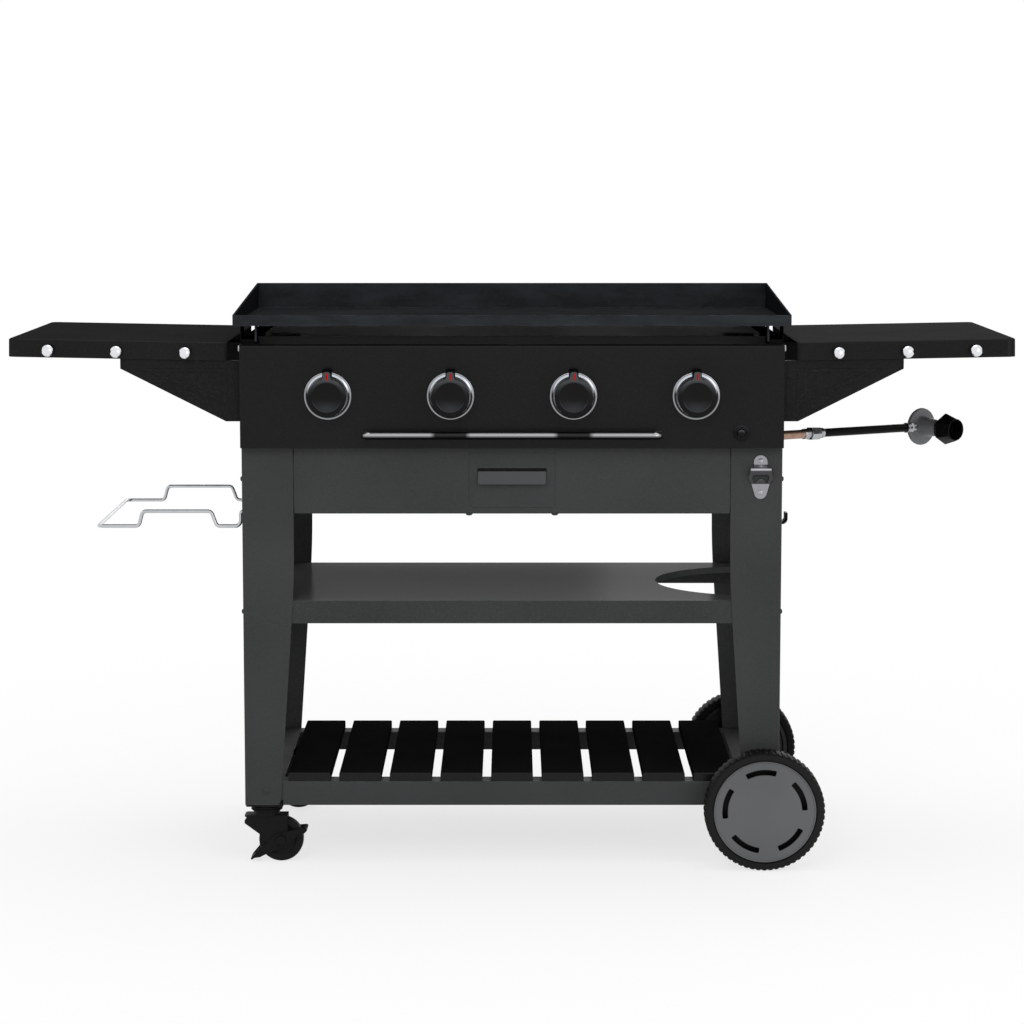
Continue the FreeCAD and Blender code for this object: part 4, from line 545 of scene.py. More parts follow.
def build_finishes():
    """Makes every finish of the station."""
    chrome = written(226, 228, 232)
    painted("frame_grey", written(51, 52, 52), written(57, 58, 58), written(92, 94, 93), 0.52, 0.1)
    # Mid shelf: painted light, a lighter tone on faces that point up.
    painted(
        "shelf_grey", written(52, 53, 53), written(57, 58, 58), written(92, 94, 93), 0.5, 0.0,
        gloss=(0.06, 0.1), fleck=0.2, dust=0.05, level=written(79, 80, 80))
    # Pull: painted light, a lighter grey than the frame's for its face that tilts up to the light.
    painted(
        "pull_grey", written(76, 77, 79), written(81, 82, 84), written(104, 105, 106), 0.5, 0.0,
        fleck=0.1, dust=0.02, hidden=recessed_pull)
    painted(
        "panel_black", written(14), written(17), written(44), 0.42, 0.06, gloss=(0.16, 0.03), fleck=0.04,
        dust=0.02)
    # Firebox walls: painted shade, near black on faces that point up and on faces turned inwards.
    painted(
        "wall_black", written(14), written(17), written(44), 0.6, 0.0, fleck=0.04, dust=0.0,
        level=written(5), hidden=inside_walls)
    painted(
        "shelf_black", written(16), written(20), written(44), 0.5, 0.0, gloss=(0.22, 0.02), fleck=0.05,
        dust=0.02, hidden=shelf_ends)
    painted(
        "slat_black", written(15), written(19), written(50), 0.5, 0.0, gloss=(0.3, 0.0), fleck=0.05,
        dust=0.01, level=written(18))
    painted("bracket_black", written(20), written(25), written(56), 0.5, 0.06, fleck=0.1, dust=0.05)
    painted(
        "black_steel", written(15, 15, 16), written(20, 20, 21), written(44, 44, 46), 0.42, 0.08,
        fleck=0.05, dust=0.03)
    plated("shield_steel", written(120, 122, 124), written(96, 97, 98), 0.45, lines=0.06, bump=0.02)
    painted(
        "inner_black", written(30), written(36), written(60), 0.5, 0.04, fleck=0.05, dust=0.02,
        hidden=lit_baffle)
    # Front shield: painted light, black paint shown as a mid grey for the shade it lies in.
    painted("shield_black", written(58), written(62), written(80), 0.5, 0.04, fleck=0.05, dust=0.02)
    seasoned_finish()
    heat_finish()
    moulded("ceramic", written(206, 203, 194), written(216, 213, 205), 0.5, 0.4, grain=0.4, relief=0.01)
    plated("valve_brass", written(196, 172, 108), written(160, 132, 78), 0.3, lines=0.05)
    plated("chrome", chrome, written(214, 216, 221), 0.07, lines=0.015, bump=0.001)
    plated(
        "bezel_chrome", written(204, 209, 219), written(196, 201, 211), 0.16, lines=0.02, bump=0.001,
        shade=ring_shade)
    plated("bar_chrome", chrome, chrome, 0.26, lines=0.02, bump=0.001, shade=bar_shade)
    plated(
        "opener_zinc", written(152, 152, 157), written(140, 140, 145), 0.34, lines=0.05, bump=0.006,
        shade=opener_shade)
    plated("bright_wire", written(196, 198, 201), written(176, 178, 181), 0.24, lines=0.05, bump=0.006)
    plated("nickel", written(180, 181, 184), written(140, 141, 144), 0.3, lines=0.05, bump=0.004)
    # Painted shade: black for cross recesses, the spigot inside the hand nut, and the floor in its mouth.
    moulded("painted_shade_black", written(6), written(8), 0.8, 0.0)
    plated("zinc", written(186, 187, 190), written(160, 162, 164), 0.3, lines=0.06, bump=0.008)
    moulded(
        "knob_plastic", written(8), written(10), 0.4, 0.08, shade=light_from_above(written(18), written(66, 68, 70)),
        dust=0.0)
    for end, way in ENDS:
        moulded(
            f"hub_{end}", written(84, 85, 86), written(94, 95, 96), 0.45, 0.3,
            shade=darker_inside(way, written(3), HUB_DARK_INSIDE))
        moulded(
            f"tyre_{end}", written(24), written(29), 0.62, 0.1, grain=1.2, relief=0.05,
            shade=tread_shade(way), dust=0.03)
    moulded("caster_tread", written(17, 17, 18), written(22, 22, 23), 0.42, 0.1)
    moulded(
        "red_mark", written(160, 6, 1), written(166, 9, 2), 0.4, 0.05, grain=0.6, relief=0.01, dust=0.0)
    moulded("hand_nut_black", written(5), written(8), 0.4, 0.1, dust=0.0)
    copper_finish()
    hose_finish()
    moulded("cast_grey", written(94, 95, 97), written(112, 113, 115), 0.42, 0.4, grain=1.4, relief=0.06)


# Nodes of the frame by their finish, also those that a made piece stands for

CAD_FINISHES = {
    "frame_grey": (
        "leg_front_left", "leg_rear_left", "leg_front_right", "leg_rear_right", "front_apron",
        "rear_apron", "end_aprons", "bottom_frame", "drawer_front"),
    "pull_grey": ("drawer_handle",),
    "shelf_grey": ("mid_shelf",),
    "panel_black": ("control_panel",),
    "wall_black": ("firebox_side_left", "firebox_side_right"),
    "inner_black": ("firebox_back",),
    "shield_black": ("front_shield",),
    "shelf_black": ("side_shelf_left", "side_shelf_right"),
    "slat_black": ("bottom_slats",),
    "bracket_black": ("shelf_brackets",),
    "black_steel": (
        "tank_hook", "caster_plates", "caster_front_fork", "caster_rear_fork",
        "caster_front_pedal", "caster_rear_pedal"),
    "shield_steel": ("drip_chute", "drawer_tray", "drawer_runners"),
    "seasoned_plate": ("griddle_plate",),
    "burner_tube": ("burners", "gas_manifold"),
    "ceramic": ("igniter_electrodes",),
    "valve_brass": ("gas_valves", "stem_seat_1", "stem_seat_2", "stem_seat_3", "stem_seat_4"),
    "chrome": ("shelf_hooks",),
    "bezel_chrome": ("knob_bezels",),
    "bar_chrome": ("towel_bar",),
    "bright_wire": ("wire_rack",),
    "zinc": ("wheel_axle",),
    "opener_zinc": ("bottle_opener",),
    "knob_plastic": (
        "knob_1", "knob_2", "knob_3", "knob_4", "igniter_housing", "igniter_button"),
    "hand_nut_black": ("hand_nut",),
    "hub_front": ("wheel_front_hub",),
    "hub_rear": ("wheel_rear_hub",),
    "tyre_front": ("wheel_front_tyre",),
    "tyre_rear": ("wheel_rear_tyre",),
    "caster_tread": ("caster_front_wheel", "caster_rear_wheel"),
    "copper_pipe": ("gas_inlet_pipe",),
    "gas_hose_rubber": ("gas_hose",),
    "cast_grey": ("regulator",),
}


def finish_frame():
    """Gives every node of the frame its finish."""
    for finish, nodes in CAD_FINISHES.items():
        for name in nodes:
            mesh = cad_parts[name].data
            mesh.materials.clear()
            mesh.materials.append(FINISHES[finish])


# Mesh helpers: shapes are drawn in millimetres about their own Z axis, then put in place

def aimed(axis):
    """Turn that puts a shape's own Z axis along the given one."""
    return Vector(axis).to_track_quat("Z", "Y").to_matrix().to_4x4()


def settle(bm, at, turn):
    """Turns a shape, moves it to its place and makes it metres."""
    matrix = Matrix.Scale(MM, 4) @ Matrix.Translation(Vector(at)) @ turn
    bmesh.ops.transform(bm, matrix=matrix, verts=bm.verts)
    return bm


def arc_points(start, through, end, steps):
    """Points after the start on the arc through three points."""
    (ax, ay), (bx, by), (cx, cy) = start, through, end
    twice = 2 * (ax * (by - cy) + bx * (cy - ay) + cx * (ay - by))
    a, b, c = ax * ax + ay * ay, bx * bx + by * by, cx * cx + cy * cy
    ux = (a * (by - cy) + b * (cy - ay) + c * (ay - by)) / twice
    uy = (a * (cx - bx) + b * (ax - cx) + c * (bx - ax)) / twice
    radius = math.hypot(ax - ux, ay - uy)
    first = math.atan2(ay - uy, ax - ux)
    bend = math.atan2(by - uy, bx - ux) - first
    sweep = math.atan2(cy - uy, cx - ux) - first
    full = 2 * math.pi
    if bend % full > sweep % full:
        sweep = sweep % full - full
    else:
        sweep = sweep % full
    turns = [first + sweep * step / steps for step in range(1, steps + 1)]
    return [(ux + radius * math.cos(turn), uy + radius * math.sin(turn)) for turn in turns]


def drawn_line(points, steps=6):
    """Corners of an outline, where (mu, mv, u, v) is an arc through (mu, mv)."""
    line = [points[0][-2:]]
    for point in points[1:]:
        if len(point) == 4:
            line += arc_points(line[-1], point[:2], point[2:], steps)
        else:
            line.append(point)
    return line


def verts_of(geometry):
    """Corners among what an operator has made."""
    return [item for item in geometry if isinstance(item, bmesh.types.BMVert)]


def swept(outline, way):
    """Solid that a flat outline of corners sweeps along a vector."""
    bm = bmesh.new()
    base = bm.faces.new([bm.verts.new(corner) for corner in outline])
    moved = verts_of(bmesh.ops.extrude_face_region(bm, geom=[base])["geom"])
    bmesh.ops.translate(bm, vec=way, verts=moved)
    bmesh.ops.recalc_face_normals(bm, faces=bm.faces)
    return bm


def spun(line, steps, ring=False):
    """Surface that a line of corners sweeps in a full turn about Z."""
    bm = bmesh.new()
    verts = [bm.verts.new(corner) for corner in line]
    pairs = list(zip(verts, verts[1:]))
    if ring:
        pairs.append((verts[-1], verts[0]))
    edges = [bm.edges.new(pair) for pair in pairs]
    bmesh.ops.spin(
        bm, geom=verts + edges, cent=(0, 0, 0), axis=(0, 0, 1), angle=math.radians(360),
        steps=steps, use_merge=True, use_duplicate=False)
    bmesh.ops.remove_doubles(bm, verts=bm.verts, dist=0.0005)
    return bm


def walled(bm, first, last):
    """Faces between two closed rows of as many corners."""
    for index in range(len(first)):
        bm.faces.new((first[index - 1], first[index], last[index], last[index - 1]))


def rounded(bm, edges, width, segments=3):
    """Rounds edges off by this width."""
    bmesh.ops.bevel(
        bm, geom=edges, offset=width, segments=segments, profile=0.5, affect="EDGES", material=-1)


def turned(profile, at, axis, steps=64, ring=False, curve=6):
    """Solid of revolution from (radius, distance along the axis)."""
    line = [(radius, 0.0, along) for radius, along in drawn_line(profile, curve)]
    bm = spun(line, steps, ring)
    bmesh.ops.recalc_face_normals(bm, faces=bm.faces)
    return settle(bm, at, aimed(axis))


def prism(outline, depth, at, turn, rounding=0.0):
    """Plate with a drawn outline, raised along its own Z, with a rounded rim on top."""
    bm = swept([(u, v, 0.0) for u, v in drawn_line(outline)], (0.0, 0.0, depth))
    if rounding:
        rounded(bm, [edge for edge in bm.edges if both_at(edge, depth)], rounding)
    return settle(bm, at, turn)


def both_at(edge, level):
    """True for an edge that lies at this height."""
    return all(abs(vert.co.z - level) < 0.001 for vert in edge.verts)


def bar_mesh(name, points, bends, radius, resolution=8):
    """Round bar through the points, with tangent arcs of the given radii at its corners."""
    spots = [Vector(point) for point in points]
    line = [spots[0]]
    for index in range(1, len(spots) - 1):
        corner = spots[index]
        before = (corner - spots[index - 1]).normalized()
        after = (spots[index + 1] - corner).normalized()
        turn = before.angle(after)
        reach = bends[index - 1] * math.tan(turn / 2)
        centre = corner + (after - before).normalized() * (bends[index - 1] / math.cos(turn / 2))
        first = corner - before * reach - centre
        normal = before.cross(after)
        steps = max(4, round(math.degrees(turn) / 9))
        for step in range(steps + 1):
            line.append(centre + Matrix.Rotation(turn * step / steps, 3, normal) @ first)
    line.append(spots[-1])
    curve = bpy.data.curves.new(name, "CURVE")
    curve.dimensions = "3D"
    curve.bevel_depth = radius * MM
    curve.bevel_resolution = resolution
    curve.use_fill_caps = True
    spline = curve.splines.new("POLY")
    spline.points.add(len(line) - 1)
    for point, spot in zip(spline.points, line):
        point.co = (*(spot * MM), 1.0)
    holder = bpy.data.objects.new(name, curve)
    mesh = bpy.data.meshes.new_from_object(holder)
    bpy.data.objects.remove(holder)
    return mesh


def as_mesh(shape, name):
    """Mesh of a shape that may be one already."""
    if not isinstance(shape, bmesh.types.BMesh):
        return shape
    mesh = bpy.data.meshes.new(name)
    shape.to_mesh(mesh)
    shape.free()
    return mesh


def joined(*shapes):
    """One shape from several, so that a piece can be built of parts."""
    whole = bmesh.new()
    for shape in shapes:
        mesh = as_mesh(shape, "part")
        whole.from_mesh(mesh)
        bpy.data.meshes.remove(mesh)
    return whole


def piece(name, shape, body, finish, slot, *stands_for, angle=40.0):
    """Makes a finished piece that rides on a body, in place of the nodes that it stands for."""
    mesh = as_mesh(shape, name)
    mesh.polygons.foreach_set("use_smooth", [True] * len(mesh.polygons))
    mesh.set_sharp_from_angle(angle=math.radians(angle))
    mesh.materials.clear()
    mesh.materials.append(FINISHES[finish])
    made = new_object(name, mesh)
    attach(made, body)
    if stands_for:
        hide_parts(*stands_for)
    return made


def polar(radius, degrees):
    """Corner at this radius and angle, measured from the first axis."""
    turn = math.radians(degrees)
    return (radius * math.cos(turn), radius * math.sin(turn))


def lofted(near, far, near_level, far_level, at, turn, rounding=0.0, lean=0.0, floor=0.0):
    """Solid between two outlines of as many corners, whose near end may lean.

    The near rim is rounded where it lies above a floor on the outline.
    """
    bm = bmesh.new()
    first = [bm.verts.new((u, v, near_level + lean * v)) for u, v in drawn_line(near)]
    last = [bm.verts.new((u, v, far_level)) for u, v in drawn_line(far)]
    bm.faces.new(first)
    bm.faces.new(last)
    walled(bm, first, last)
    bmesh.ops.recalc_face_normals(bm, faces=bm.faces)
    if rounding:
        top = max(vert.co.z for vert in first)
        rims = [edge for edge in bm.edges if all(vert in first for vert in edge.verts)]
        rounded(bm, [edge for edge in rims if min(vert.co.y for vert in edge.verts) > floor], rounding)
        for vert in bm.verts:
            vert.co.z = min(vert.co.z, top)
    return settle(bm, at, turn)


def screw(at, axis, radius, height):
    """Domed screw head."""
    profile = [
        (0.0, height), (radius * 0.6, height - 0.25, radius - 0.5, height * 0.45),
        (radius, 0.3), (radius, 0.0), (0.0, 0.0),
    ]
    return turned(profile, at, axis, steps=32, curve=5)


def cross_recess(at, axis, radius, height):
    """Dark cross that a driver fits, let into the dome of a screw head."""
    reach = radius * 0.48
    arm = radius * 0.13
    corners = []
    for quarter in range(4):
        turn = Matrix.Rotation(math.radians(90 * quarter + 20), 2)
        for u, v in ((arm, arm), (reach, arm), (reach, -arm)):
            corners.append(tuple(turn @ Vector((u, v))))
    ordered = sorted(corners, key=lambda corner: math.atan2(corner[1], corner[0]))
    return prism(ordered, height + 0.06, at, aimed(axis))


def hex_head(at, axis, radius, height):
    """Hexagonal nut or bolt head whose corners are rounded off."""
    hexagon = [polar(radius, 60 * index) for index in range(6)]
    return prism(hexagon, height, at, aimed(axis), min(0.6, height / 4))


def grown(bm, name, more):
    """Makes a copy of a node this much larger at each side, along X and Z."""
    centre = Vector(middle(name)) * MM
    half = (high(name) - low(name)) / 2
    stretch = Matrix.Diagonal((1.0 + more / half[0], 1.0, 1.0 + more / half[2], 1.0))
    matrix = Matrix.Translation(centre) @ stretch @ Matrix.Translation(-centre)
    bmesh.ops.transform(bm, matrix=matrix, verts=bm.verts)


def softened(name, width, body, finish, slot, more=0.0):
    """Copy of a node with its corners rounded by this width, in the node's place."""
    bm = bmesh.new()
    bm.from_mesh(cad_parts[name].data)
    bmesh.ops.remove_doubles(bm, verts=bm.verts, dist=0.02 * MM)
    bmesh.ops.dissolve_limit(
        bm, angle_limit=math.radians(0.5), verts=bm.verts, edges=bm.edges, delimit=set())
    bmesh.ops.triangulate(bm, faces=[face for face in bm.faces if len(face.verts) > 4])
    if more:
        grown(bm, name, more)
    made = piece(name + "_soft", bm, body, finish, slot, name)
    rounding = made.modifiers.new("rounding", "BEVEL")
    rounding.width = width * MM
    rounding.segments = 2
    rounding.limit_method = "ANGLE"
    rounding.angle_limit = math.radians(32.0)
    rounding.harden_normals = True


# Knobs and their bright bezels

BURNER_X = (-302.0, -100.8, 100.8, 302.0)
BURNER_Z = 788.0
PANEL_FRONT = -255.0
KNOB_FACE = -291.0
KNOB_RADIUS = 32.25
KNOB_DEPTH = 29.0
DISH_DEPTH = 3.2
CREST_RADIUS = 24.5
RIM_SLOPE = 0.283
RIM_FALL = 1.8
KNOB_RIBS = 72
KNOB_TAPER = 0.915
BAR_RADIUS = 6.4
BAR_HALF = 246.5
BAR_Z = 725.2


def lobe_outline(half, tip):
    """Pointer lobe about the knob's axis, with hollow flanks and a rounded tip."""
    corner = 4.0
    bite = corner * (1 - math.sqrt(0.5))
    foot = KNOB_RADIUS - 3.0
    return [
        (-half - 6.0, foot - 2.0),
        (half + 6.0, foot - 2.0),
        (half + 1.5, foot + 1.8, half, foot + 7.0),
        (half, tip - corner),
        (half - bite, tip - bite, half - corner, tip),
        (-half + corner, tip),
        (-half + bite, tip - bite, -half, tip - corner),
        (-half, foot + 7.0),
        (-half - 1.5, foot + 1.8, -half - 6.0, foot - 2.0),
    ]


def rim_level(radius):
    """Level of the face's rim at this radius, where it falls back outside the crest."""
    return -RIM_SLOPE * (radius - CREST_RADIUS)


def knob_mark(number, at):
    """Red line along the lobe, a little proud of its sloping face."""
    near, far, deep, half = 28.4, 39.3, 0.8, 1.35
    top = [(radius, rim_level(radius) + 0.07) for radius in (near, KNOB_RADIUS - 1.4, far)]
    side = top + [(radius, level - deep) for radius, level in reversed(top)]
    bm = swept([(-half, radius, level) for radius, level in side], (2 * half, 0.0, 0.0))
    settle(bm, at, FRONT)
    piece(f"knob_mark_{number}", bm, f"knob_{number}", "red_mark", "knob_plastic", angle=30.0)


def knob(number, x):
    """Dished face, rim falling back, ribbed grip that narrows to the skirt, and the pointer lobe."""
    at = (x, KNOB_FACE, BURNER_Z)
    skirt = (KNOB_RADIUS - 0.5) * KNOB_TAPER
    profile = [
        (0.0, DISH_DEPTH), (6.0, DISH_DEPTH - 0.1), (12.0, DISH_DEPTH - 0.75), (18.0, DISH_DEPTH - 1.75),
        (23.0, 0.55), (23.5, 0.18, CREST_RADIUS, 0.06), (26.0, 0.34), (KNOB_RADIUS - 1.4, RIM_FALL),
        (KNOB_RADIUS - 0.9, RIM_FALL + 0.4, KNOB_RADIUS - 0.8, RIM_FALL + 1.2),
        (KNOB_RADIUS - 1.0, RIM_FALL + 3.0), (skirt, KNOB_DEPTH), (skirt - 2.0, KNOB_DEPTH),
        (skirt - 2.2, 7.0), (9.0, 7.0), (9.0, 32.4), (4.0, 32.4), (4.0, 59.0), (0.0, 59.0),
    ]
    body = turned(profile, at, (0, 1, 0), steps=96)
    ribs = []
    grip_radius = KNOB_RADIUS - 0.6
    for index in range(KNOB_RIBS):
        turn = 360.0 * index / KNOB_RIBS
        for step, fall in ((-1.7, 0.6), (-0.9, 0.0), (0.9, 0.0), (1.7, 0.6)):
            ribs.append(polar(grip_radius - fall, turn + step))
    narrow = [(u * KNOB_TAPER, v * KNOB_TAPER) for u, v in ribs]
    grip = lofted(ribs, narrow, 0.0, -(KNOB_DEPTH - 5.8), (x, KNOB_FACE + 5.0, BURNER_Z), FRONT)
    lobe = lofted(
        lobe_outline(6.0, 42.0), lobe_outline(8.0, 45.5), RIM_SLOPE * CREST_RADIUS, -RIM_FALL - 20.0,
        at, FRONT, rounding=0.7, lean=-RIM_SLOPE, floor=KNOB_RADIUS - 4.9)
    piece(
        f"knob_body_{number}", joined(body, grip, lobe), f"knob_{number}", "knob_plastic", "knob_plastic",
        f"knob_{number}", angle=32.0)
    knob_mark(number, at)


def bezels():
    """Bright rings with a low rolled rim, crowned towards the knob's skirt."""
    crest = KNOB_RADIUS + 0.5
    profile = [
        (12.0, 0.0), (39.0, 0.0), (39.0, 0.9), (38.8, 1.9, 38.2, 2.1), (36.7, 2.1), (crest + 0.8, 4.1),
        (crest + 0.3, 4.25, crest, 3.9), (crest, 1.4), (12.0, 1.4),
    ]
    rings = [
        turned(profile, (x, PANEL_FRONT, BURNER_Z), (0, -1, 0), steps=128, ring=True)
        for x in BURNER_X]
    piece("bezels", joined(*rings), "cart", "bezel_chrome", "chrome", "knob_bezels", angle=50.0)


def towel_bar():
    """Round bar whose ends turn in to the panel, with a nut behind it at each end."""
    reach, back = BAR_HALF - BAR_RADIUS, PANEL_FRONT + 1.0
    at = KNOB_FACE + BAR_RADIUS
    spots = [(-reach, back, BAR_Z), (-reach, at, BAR_Z), (reach, at, BAR_Z), (reach, back, BAR_Z)]
    bend = BAR_RADIUS + 1.5
    shapes = [bar_mesh("bar", spots, [bend, bend], BAR_RADIUS, 10)]
    stud = [(0.0, 0.0), (3.75, 0.0), (3.75, 7.5), (0.0, 7.5)]
    for side in (-1, 1):
        shapes.append(turned(stud, (side * reach, back, BAR_Z), (0, 1, 0), steps=32))
        shapes.append(hex_head((side * reach, back + 0.4, BAR_Z), (0, 1, 0), 7.4, 5.0))
    piece("towel_rail", joined(*shapes), "cart", "bar_chrome", "chrome", "towel_bar")


def igniter():
    """Flat ring, a step with a rolled rim, and the domed push button in its groove."""
    spot_x, _, spot_z = middle("igniter_button")
    stand = 8.0
    profile = [
        (7.6, 0.6), (7.9, 0.1, 8.4, 0.0), (9.0, 0.2, 9.2, 1.0), (9.2, 3.6), (9.6, 4.6), (11.8, 5.0),
        (12.9, 5.3, 13.3, 6.4), (13.3, stand), (10.0, stand), (10.0, stand + 36.8), (0.0, stand + 36.8),
        (0.0, stand + 32.8), (7.6, stand + 32.8),
    ]
    ring = turned(profile, (spot_x, PANEL_FRONT - stand, spot_z), (0, 1, 0), steps=72, ring=True)
    piece("igniter_ring", ring, "cart", "knob_plastic", "knob_plastic", "igniter_housing")
    cap = [(0.0, 0.0), (3.4, 0.25), (5.6, 1.0), (6.5, 1.7, 6.8, 2.8), (6.8, 25.0), (0.0, 25.0)]
    button = turned(cap, (spot_x, PANEL_FRONT - stand - 2.6, spot_z), (0, 1, 0), steps=72)
    piece("igniter_cap", button, "igniter", "knob_plastic", "knob_plastic", "igniter_button")


# Drawer pull

def drawer_pull():
    """Folded plate that comes through the drawer's slot and leans out, with its lower corners rounded."""
    outline = [
        (-230.8, 678.0), (-230.8, 663.4), (-243.4, 640.6), (-244.8, 641.4), (-232.4, 663.8), (-232.4, 678.0)]
    half = 56.0
    lip_top = 642.0
    bm = swept([(u, v, 0.0) for u, v in outline], (0.0, 0.0, 2 * half))
    ends = [edge for edge in bm.edges if both_at(edge, 0.0) or both_at(edge, 2 * half)]
    corners = [edge for edge in ends if max(vert.co.y for vert in edge.verts) < lip_top]
    rounded(bm, corners, 3.4, 5)
    side_on = Matrix(((0, 0, 1, 0), (1, 0, 0, 0), (0, 1, 0, 0), (0, 0, 0, 1)))
    settle(bm, (-half, 0.0, 0.0), side_on)
    piece("drawer_pull", bm, "drawer", "pull_grey", "frame_paint", "drawer_handle", angle=30.0)


# Big wheels

ENDS = (("front", -1), ("rear", 1))
WHEEL_X = 419.1
WHEEL_RADIUS = 100.0
WHEEL_OUTER = 291.0
WHEEL_WIDTH = 45.0
TYRE_LUGS = 60
LUG_FOOT = 96.0
HUB_RADIUS = 84.7
HUB_STEPS = 165
HUB_FACE = 3.0
HUB_DARK_INSIDE = 284.6
SLOT_COUNT = 5
SLOT_STEPS = 20
SLOT_FIRST = 96.0
SLOT_LOW = 61.6
SLOT_HIGH = 70.7
SLOT_DEPTH = 3.4
OUTSIDE_SLOTS = 75.0


def hub(end, way):
    """Moulded hub: a face plate with five slots over a drum with a dished inner side."""
    at = (WHEEL_X, way * WHEEL_OUTER, WHEEL_RADIUS)
    axis = (0, -way, 0)
    width = WHEEL_WIDTH
    start = SLOT_FIRST - 360.0 / HUB_STEPS * SLOT_STEPS / 2
    if way < 0:
        start = 180.0 - start
    line = [(radius, HUB_FACE) for radius in (1.0, 30.0, SLOT_LOW, SLOT_HIGH, 82.2)]
    line += [(83.2, 1.5), (HUB_RADIUS, 1.5)]
    bm = spun([(*polar(radius, start), level) for radius, level in line], HUB_STEPS)
    centre = [vert for vert in bm.verts if vert.co.xy.length < 1.5]
    bmesh.ops.pointmerge(bm, verts=centre, merge_co=(0.0, 0.0, HUB_FACE))
    cut = [face for face in bm.faces if in_slot(face.calc_center_median(), way)]
    bmesh.ops.delete(bm, geom=cut, context="FACES")
    open_edges = [edge for edge in bm.edges if edge.is_boundary]
    moved = verts_of(bmesh.ops.extrude_edge_only(bm, edges=open_edges)["geom"])
    bmesh.ops.translate(bm, vec=(0.0, 0.0, SLOT_DEPTH), verts=moved)
    bmesh.ops.recalc_face_normals(bm, faces=bm.faces)
    if max(bm.faces, key=lambda face: face.calc_area()).normal.z > 0:
        bmesh.ops.reverse_faces(bm, faces=bm.faces)
    rounded(bm, [edge for edge in bm.edges if is_slot_corner(edge)], 1.8)
    rounded(bm, [edge for edge in bm.edges if both_at(edge, HUB_FACE) and is_slot_rim(edge)], 1.2)
    plate = settle(bm, at, aimed(axis))
    drum = [
        (HUB_RADIUS, 1.6), (HUB_RADIUS, width - 1.4), (78.5, width - 1.4), (76.5, width - 7.4),
        (20.0, width - 7.4), (16.0, width), (10.1, width), (10.1, 7.0), (17.0, 7.0), (17.0, width - 9.9),
        (76.4, width - 9.9), (78.6, 7.0), (82.4, 5.0), (83.2, 1.6),
    ]
    shell = turned(drum, at, axis, steps=HUB_STEPS, ring=True)
    piece(
        f"hub_{end}", joined(plate, shell), f"{end}_wheel", f"hub_{end}", "hub_plastic", f"wheel_{end}_hub",
        angle=30.0)


def is_slot_rim(edge):
    """True for an edge of the hub's face where the face meets a slot's wall."""
    level = sum(1 for face in edge.link_faces if abs(face.normal.z) > 0.9)
    wall = sum(1 for face in edge.link_faces if abs(face.normal.z) < 0.1)
    return level == 1 and wall == 1 and edge.verts[0].co.xy.length < OUTSIDE_SLOTS


def is_slot_corner(edge):
    """True for an upright edge where a slot's wall turns from its side to its end."""
    first, last = edge.verts
    upright_edge = (first.co.xy - last.co.xy).length < 0.001
    if not upright_edge or first.co.xy.length > OUTSIDE_SLOTS or len(edge.link_faces) != 2:
        return False
    return edge.calc_face_angle(0.0) > math.radians(60)


def in_slot(spot, way):
    """True for a place of the hub's face inside one of its slots."""
    turn = math.degrees(math.atan2(spot.y, spot.x))
    turn = turn if way > 0 else 180.0 - turn
    share = 360.0 / SLOT_COUNT
    off = (turn - SLOT_FIRST + share / 2) % share - share / 2
    return SLOT_LOW < spot.xy.length < SLOT_HIGH and abs(off) < SLOT_STEPS * 180.0 / HUB_STEPS


def tyre(end, way):
    """Moulded tyre: smooth side walls behind a groove, and a row of low cross lugs."""
    at = (WHEEL_X, way * WHEEL_OUTER, WHEEL_RADIUS)
    axis = (0, -way, 0)
    width = WHEEL_WIDTH
    profile = [
        (83.5, 5.0), (86.2, 5.0), (86.6, 1.4), (87.4, 0.6), (92.6, 0.4), (96.2, 1.6, 98.2, 5.0), (98.6, 8.0),
        (98.6, width - 8.0), (98.2, width - 5.0), (96.2, width - 1.6, 92.6, width - 0.4),
        (87.4, width - 0.6), (86.6, width - 1.4), (86.2, width - 5.0), (83.5, width - 5.0),
    ]
    ring = turned(profile, at, axis, steps=144, ring=True, curve=5)
    lug = [
        (95.0, 1.3), (98.0, 2.9), (99.4, 4.6), (100.0, 7.2), (100.0, width - 7.2), (99.4, width - 4.6),
        (98.0, width - 2.9), (95.0, width - 1.3),
    ]
    bm = bmesh.new()
    pitch = 360.0 / TYRE_LUGS
    for index in range(TYRE_LUGS):
        rows = []
        for half, lift in ((-0.34, -1.3), (-0.24, 0.0), (0.24, 0.0), (0.34, -1.3)):
            turn = pitch * (index + half)
            rows.append([
                bm.verts.new((*polar(radius + (lift if radius > LUG_FOOT else 0.0), turn), level))
                for radius, level in lug])
        bm.faces.new(rows[0])
        bm.faces.new(rows[-1])
        for first, then in zip(rows, rows[1:]):
            walled(bm, first, then)
    bmesh.ops.recalc_face_normals(bm, faces=bm.faces)
    settle(bm, at, aimed(axis))
    piece(
        f"tyre_{end}", joined(ring, bm), f"{end}_wheel", f"tyre_{end}", "tyre_rubber", f"wheel_{end}_tyre",
        angle=38.0)


# Casters

CASTER_Y = 205.0
SWIVEL_X = -412.6
ROLLER_X = -388.2
ROLLER_RADIUS = 37.5
RACE_LEVELS = (87.6, 91.6)


